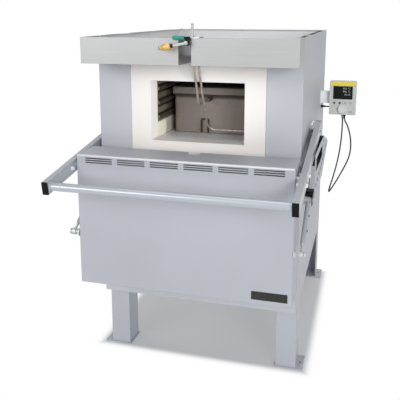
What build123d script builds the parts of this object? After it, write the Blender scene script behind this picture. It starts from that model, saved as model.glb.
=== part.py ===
from build123d import *
import math
import os

# Chamber furnace for heat treatment under protective gas, with its door swung down.
# Millimetres, +Z up, +X to the right seen from the front, +Y towards the back.
# The origin is on the floor, at the centre of the four floor fixings.

# Housing of folded sheet
housing_width = 800.0
housing_depth = 1050.0
housing_top = 1333.0
housing_bottom = 270.0
sheet = 2.0
front_sheet = 3.0
tray_depth = 70.0
top_flange = 26.0
vent_slot_length = 52.0
vent_slot_width = 7.0
vent_slot_pitch = 96.0
vent_slot_start = 330.0
vent_slot_count = 3
shelf_height = 760.0

# Legs and floor fixings
leg_width = 82.0
leg_depth = 96.0
leg_sheet = 3.0
leg_setback = 50.0
foot_thickness = 6.0
foot_tab = 28.0
foot_margin = 5.0
anchor_radius = 5.5
gusset = 58.0

half_width = housing_width / 2
# The front of the housing, from which everything else is placed
front = -(leg_setback + housing_depth) / 2
back = front + housing_depth

# Ceramic collar round the chamber's mouth
mouth_width = 370.0
mouth_bottom = 930.0
mouth_top = 1164.0
collar_rim = 81.0
collar_sill = 94.0
collar_depth = 75.0
collar_clearance = 1.0

# Chamber lining, hearth and heating
chamber_length = 495.0
lining_wall = 45.0
lining_back = 50.0
hearth_top = 925.0
hearth_thickness = 15.0
hearth_clearance = 4.0
groove_radius = 17.0
groove_inset = 5.0
groove_levels = (1006.0, 1064.0, 1122.0)
carrier_radius = 8.0
carrier_end_gap = 6.0
wire_radius = 2.5
wire_end_gap = 14.0
small_gap = 0.3
over = 1.0
thermocouple_radius = 5.0
thermocouple_height = 1143.0
thermocouple_reach = 25.0
thermocouple_head = 22.0

# Protective gas box
box_width = 304.0
box_setback = 212.0
box_length = 320.0
box_wall = 4.0
box_height = 177.0
lid_overhang = 6.0
lid_height = 34.0
lid_rise = 16.0
lug_width = 24.0
lug_height = 58.0
lug_bar = 5.0
lug_depth = 11.0
lug_offset = -24.0

# Gas tubes through the front slot
tube_radius = 4.0
tube_bore = 3.0
tube_spacing = 19.0
inlet_x = -1.0
tube_lean = 0.42
tube_face_gap = 2.2
inlet_port_height = 1072.0
outlet_run_height = 963.0
outlet_run_setback = 105.0
outlet_side = 169.0
outlet_port_setback = 330.0
outlet_port_length = 4.0
outlet_knee_height = 1115.0
outlet_run_bend = 30.0
inlet_bend = 24.0
outlet_bend = 12.0
port_radius = 9.0
port_length = 9.0

# Stainless hood above the door
hood_reach = 154.0
hood_height = 96.0
hood_sheet = 2.0
hood_flange = 14.0
slot_left = -23.0
slot_right = 24.0

# Gas fittings above the slot
manifold_left = -9.0
manifold_right = 22.0
manifold_size = 22.0
manifold_top = 1332.0
manifold_edge = 2.0
riser_x = 3.0
riser_radius = 4.8
riser_top = 1383.0
riser_cap_radius = 5.8
riser_cap_height = 5.0
feed_radius = 4.5
feed_x = 12.0
feed_height = 1317.0
feed_reach = -190.0
feed_bend = 16.0
nozzle_start = -40.0
nozzle_drop = 11.0
nozzle_radius = 12.5
nozzle_body_radius = 10.2
nozzle_length = 34.0
nozzle_hex_length = 14.0
nozzle_tip_radius = 6.0
nozzle_tip_length = 8.0
valve_setback = -163.0
valve_size = 18.0
stem_radius = 4.0
stem_neck_radius = 7.0
stem_neck_height = 2.6
lever_gap = 0.4
lever_hub_radius = 10.5
lever_thickness = 10.0
lever_reach = 58.0
lever_width = 12.0
clip_length = 26.0
clip_sheet = 3.0

# Door
door_width = 811.4
door_front = -209.0
door_back = -62.0
door_top = 905.0
door_bottom = 398.0
door_sheet = 2.5
door_edge_radius = 4.0
door_vent_groups = 6
door_vent_pitch = 126.8
door_vent_width = 106.0
door_vent_rows = 3
door_vent_height = 4.0
door_vent_row_pitch = 8.0
door_vent_drop = 12.0
door_lip = 28.0
plug_width = 600.0
plug_bottom = 520.0
plug_depth = 92.0
plug_proud = 2.5
plug_top_gap = 3.0
notch_left = -15.0
notch_right = 35.0
notch_depth = 42.0
notch_height = 108.0

# Door arms and their pivots
arm_width = 22.0
arm_height = 46.0
arm_wall = 2.5
arm_centre = 430.0
arm_tilt = 9.1
arm_pivot_setback = 331.0
arm_pivot_height = 942.0
arm_span = 518.5
arm_front_reach = 738.0
arm_rear_reach = 42.0
door_swing = 37.6
pin_radius = 8.0
pin_clearance = 0.05
bush_wall = 3.5
side_gap = 0.3
hub_radius = 13.0
hub_plate = 6.0
hub_plate_size = 64.0
head_radius = 11.0
head_thickness = 5.0
head_pocket = 2.0
cap_thickness = 5.0
cap_plug = 14.0
handle_inset = 18.0
handle_radius = 15.0
handle_wall = 2.0

# Lower guide links of the door
stud_setback = -198.0
stud_height = 598.0
link_anchor_offset = 183.0
link_centre = 432.0
link_tube_radius = 9.0
link_rod_radius = 4.5
link_rod_length = 45.0
link_eye_radius = 13.0
link_eye_width = 14.0
link_pin_radius = 6.0
link_pin_flange = 15.0
link_neck = 18.0
link_nut_length = 7.0
link_nut_radius = 7.2
stud_head_radius = 11.0
stud_radius = 6.0
stud_flange_radius = 13.0
stud_flange = 5.0
stud_reach = 447.0
seat_radius = 17.0
seat_thickness = 3.0

# Mechanism plates and slotted guards at the sides
mechanism_plate = 5.0
plate_margin = 36.0
plate_nose = 12.0
plate_lift = 12.0
guard_inner = 449.0
guard_sheet = 2.0
guard_lip = 20.0
guard_lip_lift = 34.0
guard_lip_gap = 10.0
guard_slot_length = 304.0
guard_slot_height = 52.0
guard_slot_setback = 222.0
guard_slot_level = 850.0
guard_dash_length = 44.0
guard_dash_height = 15.0
guard_dash_pitch = 62.0
guard_dash_count = 9
guard_dash_setback = 70.0
guard_dash_level = 772.0
guard_dash_rise = 6.0
guard_front_setback = 26.0
guard_front_bottom = 738.0
guard_rear_setback = 392.0
guard_rear_bottom = 732.0
guard_tail_setback = 700.0
guard_tail_height = 822.0
guard_top_setback = 432.0
guard_top_height = 898.0
guard_overlap = 34.0
plate_arm_gap = 20.0
guard_fold_setback = 96.0

# Controller on its bracket
controller_left = 444.0
controller_width = 127.0
controller_top = 1095.0
controller_height = 163.0
controller_setback = 800.0
controller_depth = 48.0
controller_wall = 3.0
controller_edge = 5.0
fascia_thickness = 4.0
strip_height = 16.0
strip_drop = 2.0
strip_proud = 1.0
display_width = 92.0
display_height = 64.0
display_drop = 23.0
display_sink = 1.5
key_count = 4
key_pitch = 26.0
key_radius = 5.0
key_height = 990.0
key_proud = 2.5
key_travel = 1.2
key_gap = 0.3
knob_radius = 21.0
knob_height = 961.0
knob_length = 12.0
knob_gap = 0.4
spindle_radius = 3.0
knob_edge = 2.0
hollow_radius = 5.5
hollow_offset = 12.0
hollow_depth = 1.5
shoulder_width = 1.5
bracket_bottom = 983.0
bracket_height = 62.0
bracket_depth = 20.0

# Cable from the controller to the housing
cable_radius = 3.5
gland_radius = 8.0
gland_length = 10.0
cable_exit_x = 518.0
cable_exit_setback = 826.0
cable_entry_setback = 872.0
cable_entry_height = 960.0

# Rear side
spigot_radius = 40.0
spigot_wall = 2.0
spigot_length = 70.0
spigot_height = 1100.0
spigot_offset = -110.0
flue_radius = 12.0
panel_hole_margin = 1.0
mains_gland_radius = 16.0
mains_gland_bore = 9.0
mains_gland_length = 22.0
mains_gland_height = 400.0
mains_gland_offset = 250.0

# Switchgear under the chamber
switch_plate_width = 500.0
switch_plate_height = 330.0
switch_plate_setback = 900.0
contactor_width = 70.0
contactor_height = 90.0
contactor_depth = 80.0
contactor_pitch = 110.0
transformer_width = 180.0
transformer_depth = 130.0
transformer_height = 150.0
transformer_setback = 500.0
contactor_count = 3


def block(x0, x1, y0, y1, z0, z1):
    """A box between two corners."""
    return Pos((x0 + x1) / 2, (y0 + y1) / 2, (z0 + z1) / 2) * Box(x1 - x0, y1 - y0, z1 - z0)


def rod_x(x0, x1, y, z, radius):
    return Pos((x0 + x1) / 2, y, z) * Rot(0, 90, 0) * Cylinder(radius, abs(x1 - x0))


def rod_y(y0, y1, x, z, radius):
    return Pos(x, (y0 + y1) / 2, z) * Rot(90, 0, 0) * Cylinder(radius, abs(y1 - y0))


def rod_z(z0, z1, x, y, radius):
    return Pos(x, y, (z0 + z1) / 2) * Cylinder(radius, abs(z1 - z0))


def other_side(shape):
    return shape.mirror(Plane.YZ)


def sheet_outline(x0, x1, points):
    """A flat plate between two X planes, with its outline given as (Y, Z) points."""
    corners = [(x0, y, z) for y, z in points]
    face = make_face(Polyline(*corners, close=True))
    return extrude(face, amount=abs(x1 - x0), dir=(math.copysign(1, x1 - x0), 0, 0))


def round_path(points, radii):
    return FilletPolyline(*points, radius=radii)


def swept(path, radius):
    """A round bar along a path."""
    start = Plane(origin=path @ 0, z_dir=path % 0)
    return sweep(start * Circle(radius), path=path)


def save(name, *shapes):
    solids = [s for shape in shapes for s in shape.solids()]
    result = solids[0] if len(solids) == 1 else Compound(children=solids)
    export_step(result, f"parts/{name}.step")


os.makedirs("parts", exist_ok=True)


# Housing
collar_half = mouth_width / 2 + collar_rim
collar_bottom = mouth_bottom - collar_sill
collar_top = mouth_top + collar_rim
deck_top = housing_top - tray_depth
skin_front = front + front_sheet
skin_back = back - front_sheet
inner_half = half_width - sheet


def front_frame():
    plate = block(-half_width, half_width, front, skin_front, housing_bottom, deck_top)
    reach = collar_half + collar_clearance
    hole = block(-reach, reach, front - over, skin_front + over,
                 collar_bottom - collar_clearance, collar_top + collar_clearance)
    return plate - hole


def side_panel():
    panel = block(inner_half, half_width, skin_front, skin_back, housing_bottom, housing_top)
    panel += block(inner_half, half_width, front, skin_front, deck_top, housing_top)
    flange = block(half_width - top_flange, inner_half, skin_front, skin_back,
                   housing_top - sheet, housing_top)
    panel += flange
    x = half_width - top_flange / 2
    for step in range(vent_slot_count):
        y = front + vent_slot_start + step * vent_slot_pitch
        panel -= block(x - vent_slot_width / 2, x + vent_slot_width / 2,
                       y, y + vent_slot_length, housing_top - 2 * sheet, housing_top + over)
    return panel


def rear_panel():
    panel = block(-half_width, half_width, skin_back, back, housing_bottom, housing_top)
    flange = block(-half_width + top_flange, half_width - top_flange,
                   skin_back - top_flange + front_sheet, skin_back,
                   housing_top - sheet, housing_top)
    panel += flange
    panel -= rod_y(skin_back - over, back + over, spigot_offset, spigot_height,
                   spigot_radius - spigot_wall)
    panel -= rod_y(skin_back - over, back + over, mains_gland_offset, mains_gland_height,
                   mains_gland_bore + panel_hole_margin)
    panel -= rod_y(skin_back - over, back + over, 0, thermocouple_height,
                   thermocouple_radius + collar_clearance)
    return panel


save("front_frame", front_frame())
save("side_panels", side_panel(), other_side(side_panel()))
save("rear_panel", rear_panel())
save("top_deck", block(-inner_half, inner_half, skin_front, skin_back, deck_top - sheet, deck_top))
floor_pan = block(-inner_half, inner_half, skin_front, skin_back,
                  housing_bottom, housing_bottom + sheet)
shelf = block(-inner_half, inner_half, skin_front, skin_back,
              shelf_height - front_sheet, shelf_height)
save("inner_shelves", floor_pan, shelf)


# Legs: folded channels, open towards the middle of the furnace, on foot plates
def leg(rear):
    outer_x = -half_width
    inner_x = -half_width + leg_width
    y0 = back - leg_depth if rear else front + leg_setback
    y1 = y0 + leg_depth
    channel = block(outer_x, inner_x, y0, y1, foot_thickness, housing_bottom)
    hollow_y0, hollow_y1 = (y0 - over, y1 - leg_sheet) if rear else (y0 + leg_sheet, y1 + over)
    channel -= block(outer_x + leg_sheet, inner_x - leg_sheet, hollow_y0, hollow_y1,
                     foot_thickness - over, housing_bottom + over)
    edge = y0 if rear else y1
    turn = -1 if rear else 1
    brace = sheet_outline(inner_x - leg_sheet, inner_x, [
        (edge, housing_bottom),
        (edge + turn * gusset, housing_bottom),
        (edge, housing_bottom - gusset),
    ])
    foot = block(outer_x - foot_tab, inner_x + foot_margin, y0 - foot_margin, y1 + foot_margin,
                 0, foot_thickness)
    hole = rod_z(-over, foot_thickness + over, outer_x - foot_tab / 2, (y0 + y1) / 2, anchor_radius)
    return channel + brace + (foot - hole)


save("legs_front", leg(False), other_side(leg(False)))
save("legs_rear", leg(True), other_side(leg(True)))


# Collar, lining and backing insulation
lining_front = front + collar_depth
lining_end = lining_front + chamber_length + lining_back
lining_half = mouth_width / 2 + lining_wall
lining_top = mouth_top + lining_wall
hearth_bottom = hearth_top - hearth_thickness
lining_bottom = hearth_bottom - lining_wall
chamber_end = lining_front + chamber_length
half_mouth = mouth_width / 2


def collar():
    body = block(-collar_half, collar_half, front, lining_front, collar_bottom, collar_top)
    mouth = block(-half_mouth, half_mouth, front - over, lining_front + over, mouth_bottom, mouth_top)
    return body - mouth


def chamber_lining():
    body = block(-lining_half, lining_half, lining_front, lining_end, lining_bottom, lining_top)
    body -= block(-half_mouth, half_mouth, lining_front - over, chamber_end, hearth_bottom, mouth_top)
    for level in groove_levels:
        for side in (-1, 1):
            body -= rod_y(lining_front + carrier_end_gap, chamber_end - carrier_end_gap,
                          side * (half_mouth + groove_inset), level, groove_radius)
    body -= rod_y(chamber_end - over, lining_end + over, 0, thermocouple_height,
                  thermocouple_radius + collar_clearance)
    body -= rod_y(chamber_end - over, lining_end + over, spigot_offset, spigot_height, flue_radius)
    return body


def backing_insulation():
    body = block(-inner_half, inner_half, skin_front, skin_back, shelf_height, deck_top - sheet)
    body -= block(-collar_half, collar_half, skin_front - over, lining_front, collar_bottom, collar_top)
    body -= block(-lining_half, lining_half, lining_front - over, lining_end, lining_bottom, lining_top)
    body -= rod_y(lining_end - over, skin_back + over, 0, thermocouple_height,
                  thermocouple_radius + collar_clearance)
    body -= rod_y(lining_end - over, skin_back + over, spigot_offset, spigot_height,
                  spigot_radius - spigot_wall)
    return body


carrier_x = half_mouth + groove_inset
wire_rise = carrier_radius + wire_radius


def carrier_tubes():
    y0 = lining_front + carrier_end_gap
    y1 = chamber_end - carrier_end_gap
    return [rod_y(y0, y1, carrier_x, level, carrier_radius) for level in groove_levels]


def hearth_plate():
    return block(-half_mouth + hearth_clearance, half_mouth - hearth_clearance,
                 lining_front, chamber_end - hearth_clearance, hearth_bottom, hearth_top)


def thermocouple():
    sheath = rod_y(chamber_end - thermocouple_reach, back, 0, thermocouple_height,
                   thermocouple_radius)
    head = rod_y(back, back + thermocouple_head, 0, thermocouple_height, 2.6 * thermocouple_radius)
    return sheath + head


save("collar", collar())
save("chamber_lining", chamber_lining())
save("backing_insulation", backing_insulation())
save("hearth_plate", hearth_plate())
save("carrier_tubes", *carrier_tubes(), *[other_side(tube) for tube in carrier_tubes()])
save("thermocouple", thermocouple())


# Heating conductors: straight rods on the carrier tubes
def conductor_rods():
    y0 = lining_front + wire_end_gap
    y1 = chamber_end - wire_end_gap
    return [rod_y(y0, y1, carrier_x, level + wire_rise, wire_radius) for level in groove_levels]


save("heating_rods", *conductor_rods(), *[other_side(rod) for rod in conductor_rods()])


# Protective gas box on the hearth
box_half = box_width / 2
box_front = front + box_setback
box_back = box_front + box_length
box_rim = hearth_top + box_height
lid_top = box_rim + lid_rise


def gas_box():
    body = block(-box_half, box_half, box_front, box_back, hearth_top, box_rim)
    body -= block(-box_half + box_wall, box_half - box_wall, box_front + box_wall,
                  box_back - box_wall, hearth_top + box_wall, box_rim + over)
    body -= rod_y(box_front - over, box_front + box_wall + over, inlet_x, inlet_port_height, tube_bore)
    body -= rod_x(box_half - box_wall - over, box_half + over, front + outlet_port_setback,
                  outlet_run_height, tube_bore)
    return body


def gas_box_lid():
    """A plate with a turned-down rim that hangs over the box's walls."""
    reach = box_half + lid_overhang
    y0 = box_front - lid_overhang
    y1 = box_back + lid_overhang
    body = block(-reach, reach, y0, y1, lid_top - lid_height, lid_top)
    body -= block(-box_half - small_gap, box_half + small_gap, box_front - small_gap,
                  box_back + small_gap, lid_top - lid_height - over, box_rim)
    return body


def box_lug():
    """Pulling lug: a flat bar bent to a loop and welded to the front of the box."""
    half = lug_width / 2 + lug_bar
    z0 = hearth_top + lug_bar
    top = z0 + lug_height
    y0 = box_front - lug_depth
    loop = block(lug_offset - half, lug_offset + half, y0, box_front, z0, top)
    loop = chamfer(loop.edges().filter_by(Axis.Y).group_by(Axis.Z)[-1], lug_bar)
    eye = block(lug_offset - lug_width / 2, lug_offset + lug_width / 2, y0 - over, box_front + over,
                z0 - over, top - lug_bar)
    return loop - chamfer(eye.edges().filter_by(Axis.Y).group_by(Axis.Z)[-1], lug_bar / 2)


def box_ports():
    """Sockets on the box, into which the gas tubes are screwed."""
    inlet = rod_y(box_front - port_length, box_front, inlet_x, inlet_port_height, port_radius)
    inlet -= rod_y(box_front - port_length - over, box_front + over, inlet_x, inlet_port_height, tube_bore)
    y = front + outlet_port_setback
    outlet = rod_x(box_half, box_half + outlet_port_length, y, outlet_run_height, port_radius)
    outlet -= rod_x(box_half - over, box_half + outlet_port_length + over, y, outlet_run_height, tube_bore)
    return [inlet, outlet]


save("gas_box", gas_box())
save("gas_box_lid", gas_box_lid())
save("box_fittings", box_lug(), *box_ports())


# Gas tubes: down through the hood's slot, in front of the collar and into the box
lean_angle = math.atan(tube_lean)
tube_edge_gap = (tube_radius + tube_face_gap) / math.cos(lean_angle)


def tube_setback(height):
    """Distance of a leaning tube's axis behind the housing's front at a height."""
    return -tube_edge_gap - (height - mouth_top) * tube_lean


tube_start_height = manifold_top - manifold_size
outlet_x = inlet_x + tube_spacing
hood_front = front - hood_reach


def tube_of(points, radii):
    """A tube from above the manifold's underside, cut off flush there."""
    top = tube_start_height + tube_radius
    points = [(points[0][0], tube_setback(top), top)] + points
    tube = swept(round_path([(x, front + y, z) for x, y, z in points], radii), tube_radius)
    return tube - block(slot_left, slot_right, hood_front, front, tube_start_height, housing_top)


def gas_inlet_tube():
    knee = inlet_port_height
    return tube_of([
        (inlet_x, tube_setback(knee), knee),
        (inlet_x, box_setback - port_length, knee),
    ], inlet_bend)


def gas_outlet_tube():
    low = outlet_run_height
    return tube_of([
        (outlet_x, tube_setback(outlet_knee_height), outlet_knee_height),
        (outlet_x, outlet_run_setback, low),
        (outlet_side, outlet_run_setback, low),
        (outlet_side, outlet_port_setback, low),
        (box_half + outlet_port_length, outlet_port_setback, low),
    ], [outlet_bend, outlet_run_bend, outlet_bend, outlet_bend])


save("gas_inlet_tube", gas_inlet_tube())
save("gas_outlet_tube", gas_outlet_tube())


# Hood halves
hood_bottom = housing_top - hood_height


def hood_half(x0, x1):
    """A folded box, open at the top and at the housing."""
    shell = block(x0, x1, hood_front, front, hood_bottom, housing_top)
    shell -= block(x0 + hood_sheet, x1 - hood_sheet, hood_front + hood_sheet, front + over,
                   hood_bottom + hood_sheet, housing_top + over)
    shell += block(x0, x1, hood_front, hood_front + hood_flange,
                   housing_top - hood_sheet, housing_top)
    return shell


save("hood_left", hood_half(-half_width, slot_left))
save("hood_right", hood_half(slot_right, half_width))


# Door
door_half = door_width / 2
door_y0 = front + door_front
door_y1 = front + door_back
plug_y1 = door_y1 + plug_proud


def notch(top):
    return block(notch_left, notch_right, door_y1 - notch_depth, plug_y1 + over,
                 door_top - notch_height, top)


def door_shell():
    shell = block(-door_half, door_half, door_y0, door_y1, door_bottom, door_top)
    front_edges = shell.edges().filter_by(lambda e: abs(e.center().Y - door_y0) < 0.01)
    shell = fillet(front_edges, door_edge_radius)
    shell -= block(-door_half + door_sheet, door_half - door_sheet, door_y0 + door_sheet,
                   door_y1 - door_sheet, door_bottom + door_sheet, door_top - door_sheet)
    shell -= block(-door_half + door_lip, door_half - door_lip, door_y1 - 2 * door_sheet,
                   door_y1 + over, door_bottom + door_lip, door_top - door_sheet)
    for group in range(door_vent_groups):
        x = (group - (door_vent_groups - 1) / 2) * door_vent_pitch
        for row in range(door_vent_rows):
            z = door_top - door_vent_drop - row * door_vent_row_pitch
            shell -= block(x - door_vent_width / 2, x + door_vent_width / 2,
                           door_y0 - over, door_y0 + door_sheet + over,
                           z - door_vent_height / 2, z + door_vent_height / 2)
    return shell - notch(door_top + over)


def door_plug():
    plug = block(-plug_width / 2, plug_width / 2, door_y1 - plug_depth, plug_y1,
                 plug_bottom, door_top - door_sheet - plug_top_gap)
    return plug - notch(door_top + over)


def door_inner_frame():
    """The plate that carries the ceramic plug, folded back round it as a tray."""
    y0 = door_y1 - plug_depth - door_sheet
    reach = plug_width / 2 + door_sheet + small_gap
    low = plug_bottom - door_sheet - small_gap
    high = door_top - door_sheet
    tray = block(-reach, reach, y0, door_y1 - door_sheet, low, high)
    tray -= block(-reach + door_sheet, reach - door_sheet, y0 + door_sheet, door_y1 + over,
                  low + door_sheet, high + over)
    wall = door_half - door_sheet
    plate = block(-wall, wall, door_y1 - 2 * door_sheet, door_y1 - door_sheet,
                  door_bottom + door_sheet, high)
    plate -= block(-reach + door_sheet, reach - door_sheet, door_y0, door_y1 + over,
                   low + door_sheet, high + over)
    return tray + plate - notch(door_top + over)


save("door_shell", door_shell())
save("door_plug", door_plug())
save("door_inner_frame", door_inner_frame())


# Arms and pivots
tilt = math.radians(arm_tilt)
swing = math.radians(door_swing)
arm_pivot_y = front + arm_pivot_setback
door_pivot_y = arm_pivot_y - arm_span * math.cos(tilt)
door_pivot_z = arm_pivot_height - arm_span * math.sin(tilt)
arm_inner = arm_centre - arm_width / 2
arm_outer = arm_centre + arm_width / 2
bore_radius = pin_radius + pin_clearance


def on_arm(shape):
    """Places a shape drawn along -Y from the arm's pivot."""
    return Pos(0, arm_pivot_y, arm_pivot_height) * Rot(arm_tilt, 0, 0) * shape


def arm():
    tube = block(arm_inner, arm_outer, -arm_front_reach, arm_rear_reach,
                 -arm_height / 2, arm_height / 2)
    tube -= block(arm_inner + arm_wall, arm_outer - arm_wall, -arm_front_reach - over,
                  arm_rear_reach + over, -arm_height / 2 + arm_wall, arm_height / 2 - arm_wall)
    for reach in (0, -arm_span):
        tube -= rod_x(arm_inner - over, arm_outer + over, reach, 0, bore_radius + bush_wall)
    return on_arm(tube)


def arm_bushes():
    bushes = []
    for reach in (0, -arm_span):
        bush = rod_x(arm_inner, arm_outer, reach, 0, bore_radius + bush_wall)
        bush -= rod_x(arm_inner - over, arm_outer + over, reach, 0, bore_radius)
        bushes.append(on_arm(bush))
    return bushes


def end_caps():
    caps = []
    inner_half_width = arm_width / 2 - arm_wall
    inner_half_height = arm_height / 2 - arm_wall
    for edge, turn in ((-arm_front_reach, -1), (arm_rear_reach, 1)):
        near, far = sorted((edge, edge + turn * cap_thickness))
        head = block(arm_inner, arm_outer, near, far, -arm_height / 2, arm_height / 2)
        near, far = sorted((edge, edge - turn * cap_plug))
        plug = block(arm_centre - inner_half_width, arm_centre + inner_half_width, near, far,
                     -inner_half_height, inner_half_height)
        caps.append(on_arm(head + plug))
    return caps


def handle_tube():
    reach = -arm_front_reach + handle_inset
    bar = rod_x(-arm_inner, arm_inner, reach, 0, handle_radius)
    bar -= rod_x(-arm_inner - over, arm_inner + over, reach, 0, handle_radius - handle_wall)
    return on_arm(bar)


def pivot(y, z, wall_x):
    """A pin with its spacer and head, standing on a wall beside the arm."""
    part = rod_x(wall_x, arm_inner - side_gap, y, z, hub_radius)
    part += rod_x(wall_x, arm_outer + side_gap + head_thickness, y, z, pin_radius)
    part += rod_x(arm_outer + side_gap, arm_outer + side_gap + head_thickness, y, z, head_radius)
    return part


def housing_pivot():
    half = hub_plate_size / 2
    plate = block(half_width, half_width + hub_plate, arm_pivot_y - half, arm_pivot_y + half,
                  arm_pivot_height - half, arm_pivot_height + half)
    return pivot(arm_pivot_y, arm_pivot_height, half_width) + plate


save("arm_right", arm())
save("arm_left", other_side(arm()))
save("arm_bushes", *arm_bushes(), *[other_side(bush) for bush in arm_bushes()])
save("arm_end_caps", *end_caps(), *[other_side(cap) for cap in end_caps()])
save("handle_tube", handle_tube())


# Lower guide links, which keep the door upright
stud_y = front + stud_setback
travel_y = arm_span * (math.cos(tilt) - math.cos(swing - tilt))
travel_z = arm_span * (math.sin(swing - tilt) + math.sin(tilt))
travel = math.hypot(travel_y, travel_z)
anchor_y = stud_y + travel_y / 2 + link_anchor_offset * travel_z / travel
anchor_z = stud_height + travel_z / 2 - link_anchor_offset * travel_y / travel
link_length = math.hypot(anchor_y - stud_y, anchor_z - stud_height)
link_start = math.degrees(math.atan2(anchor_z - stud_height, anchor_y - stud_y))
link_end = math.degrees(math.atan2(anchor_z - stud_height - travel_z, anchor_y - stud_y - travel_y))
link_turn = link_start - link_end
plate_face = half_width + mechanism_plate
link_inner = link_centre - link_eye_width / 2
link_outer = link_centre + link_eye_width / 2


def on_link(shape):
    """Places a shape drawn along -Y from the link's anchor."""
    return Pos(0, anchor_y, anchor_z) * Rot(link_start, 0, 0) * shape


def link_tube():
    bar = rod_y(-link_length + link_rod_length, -link_neck, link_centre, 0, link_tube_radius)
    eye = rod_x(link_inner, link_outer, 0, 0, link_eye_radius)
    neck = block(link_inner, link_outer, -link_neck, 0, -link_tube_radius, link_tube_radius)
    bar = bar + eye + neck
    bar -= rod_x(link_inner - over, link_outer + over, 0, 0, link_pin_radius + pin_clearance)
    return on_link(bar)


def link_rod():
    bar = rod_y(-link_length, -link_length + link_rod_length, link_centre, 0, link_rod_radius)
    nut = rod_y(-link_length + link_rod_length - link_nut_length, -link_length + link_rod_length,
                link_centre, 0, link_nut_radius)
    eye = rod_x(link_inner, link_outer, -link_length, 0, link_eye_radius)
    inner_end = door_half + seat_thickness + small_gap
    stud = rod_x(inner_end, stud_reach, -link_length, 0, stud_radius)
    collar_ring = rod_x(inner_end, inner_end + stud_flange, -link_length, 0, stud_flange_radius)
    head = rod_x(stud_reach - stud_flange, stud_reach, -link_length, 0, stud_head_radius)
    return on_link(bar + nut + eye + stud + collar_ring + head)


def link_anchor():
    """Clevis on the mechanism plate with the pin that carries the link."""
    pin = rod_x(plate_face, link_outer + side_gap + head_thickness, anchor_y, anchor_z,
                link_pin_radius)
    spacer = rod_x(plate_face, link_inner - side_gap, anchor_y, anchor_z, link_pin_flange)
    head = rod_x(link_outer + side_gap, link_outer + side_gap + head_thickness, anchor_y,
                 anchor_z, head_radius)
    return pin + spacer + head


def stud_seat():
    return rod_x(door_half, door_half + seat_thickness, stud_y, stud_height, seat_radius)


save("link_tube_right", link_tube())
save("link_tube_left", other_side(link_tube()))
save("link_rod_right", link_rod())
save("link_rod_left", other_side(link_rod()))
door_pin = pivot(door_pivot_y, door_pivot_z, door_half)
save("housing_pivots", housing_pivot(), other_side(housing_pivot()),
     link_anchor(), other_side(link_anchor()))
save("door_pivots", door_pin, other_side(door_pin), stud_seat(), other_side(stud_seat()))


# Mechanism plates and guards
def arm_underside(setback):
    """Height of the arm's lower edge at a distance behind the housing's front."""
    drop = arm_height / 2 / math.cos(tilt)
    return arm_pivot_height + (setback - arm_pivot_setback) * math.tan(tilt) - drop


guard_outline = [
    (front + guard_front_setback, guard_front_bottom),
    (front + guard_rear_setback, guard_rear_bottom),
    (front + guard_tail_setback, guard_tail_height),
    (front + guard_top_setback, guard_top_height),
    (front + guard_front_setback, arm_underside(guard_front_setback) + guard_overlap),
]
plate_outline = [
    (anchor_y - plate_nose, anchor_z - plate_margin),
    (anchor_y + plate_margin, anchor_z - plate_margin),
    (front + guard_fold_setback - guard_front_setback, guard_front_bottom + plate_lift),
    (front + guard_rear_setback, guard_rear_bottom + plate_lift),
    (front + guard_tail_setback - 2 * plate_margin, guard_tail_height - plate_lift / 3),
    (front + guard_top_setback, guard_top_height - plate_lift),
    (anchor_y - plate_nose, arm_underside(0) - plate_arm_gap),
]


def mechanism_plate_part():
    return sheet_outline(half_width, plate_face, plate_outline)


def guard():
    """Slotted cover sheet with its lower and rear edges folded in to the housing."""
    outer = guard_inner + guard_sheet
    cover = sheet_outline(guard_inner, outer, guard_outline)
    low_front, low_rear, tail = guard_outline[0], guard_outline[1], guard_outline[2]
    top_rear = guard_outline[3]
    share = (front + guard_fold_setback - low_front[0]) / (low_rear[0] - low_front[0])
    fold_start = (front + guard_fold_setback, low_front[1] + (low_rear[1] - low_front[1]) * share)
    for a, b in ((fold_start, low_rear), (low_rear, tail), (tail, top_rear)):
        length = math.hypot(b[0] - a[0], b[1] - a[1])
        ny, nz = -(b[1] - a[1]) / length * guard_sheet, (b[0] - a[0]) / length * guard_sheet
        strip = [a, b, (b[0] + ny, b[1] + nz), (a[0] + ny, a[1] + nz)]
        cover += sheet_outline(half_width, outer, strip)
    top_front = guard_outline[4]
    # The front edge is folded in as a narrow lip, below the arm and above the link's eye
    lip_bottom = low_front[1] + guard_lip_lift
    lip_top = arm_underside(guard_front_setback) - guard_lip_gap
    cover += block(outer - guard_lip, outer, low_front[0], low_front[0] + guard_sheet,
                   lip_bottom, lip_top)
    slope = math.degrees(math.atan2(top_rear[1] - top_front[1], top_rear[0] - top_front[0]))
    slot = block(guard_inner - over, outer + over, -guard_slot_length / 2, guard_slot_length / 2,
                 -guard_slot_height / 2, guard_slot_height / 2)
    cover -= Pos(0, front + guard_slot_setback, guard_slot_level) * Rot(slope, 0, 0) * slot
    for step in range(guard_dash_count):
        y = front + guard_dash_setback + step * guard_dash_pitch
        z = guard_dash_level + step * guard_dash_rise
        cover -= block(guard_inner - over, outer + over, y, y + guard_dash_length,
                       z - guard_dash_height / 2, z + guard_dash_height / 2)
    return cover


save("mechanism_plates", mechanism_plate_part(), other_side(mechanism_plate_part()))
save("side_guards", guard(), other_side(guard()))


# Gas fittings: manifold in the slot, riser, feed pipe with its nozzle, and the valve
manifold_y = front + tube_setback(tube_start_height)
manifold_y0 = manifold_y - manifold_size / 2
manifold_y1 = manifold_y + manifold_size / 2
valve_y = front + valve_setback
valve_top = feed_height + valve_size / 2
lever_bottom = valve_top + stem_neck_height
nozzle_z = feed_height - (feed_x - nozzle_start) * math.tan(math.radians(nozzle_drop))


def gas_manifold():
    body = block(manifold_left, manifold_right, manifold_y0, manifold_y1,
                 tube_start_height, manifold_top)
    return chamfer(body.edges().filter_by(Axis.Z), manifold_edge)


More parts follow.
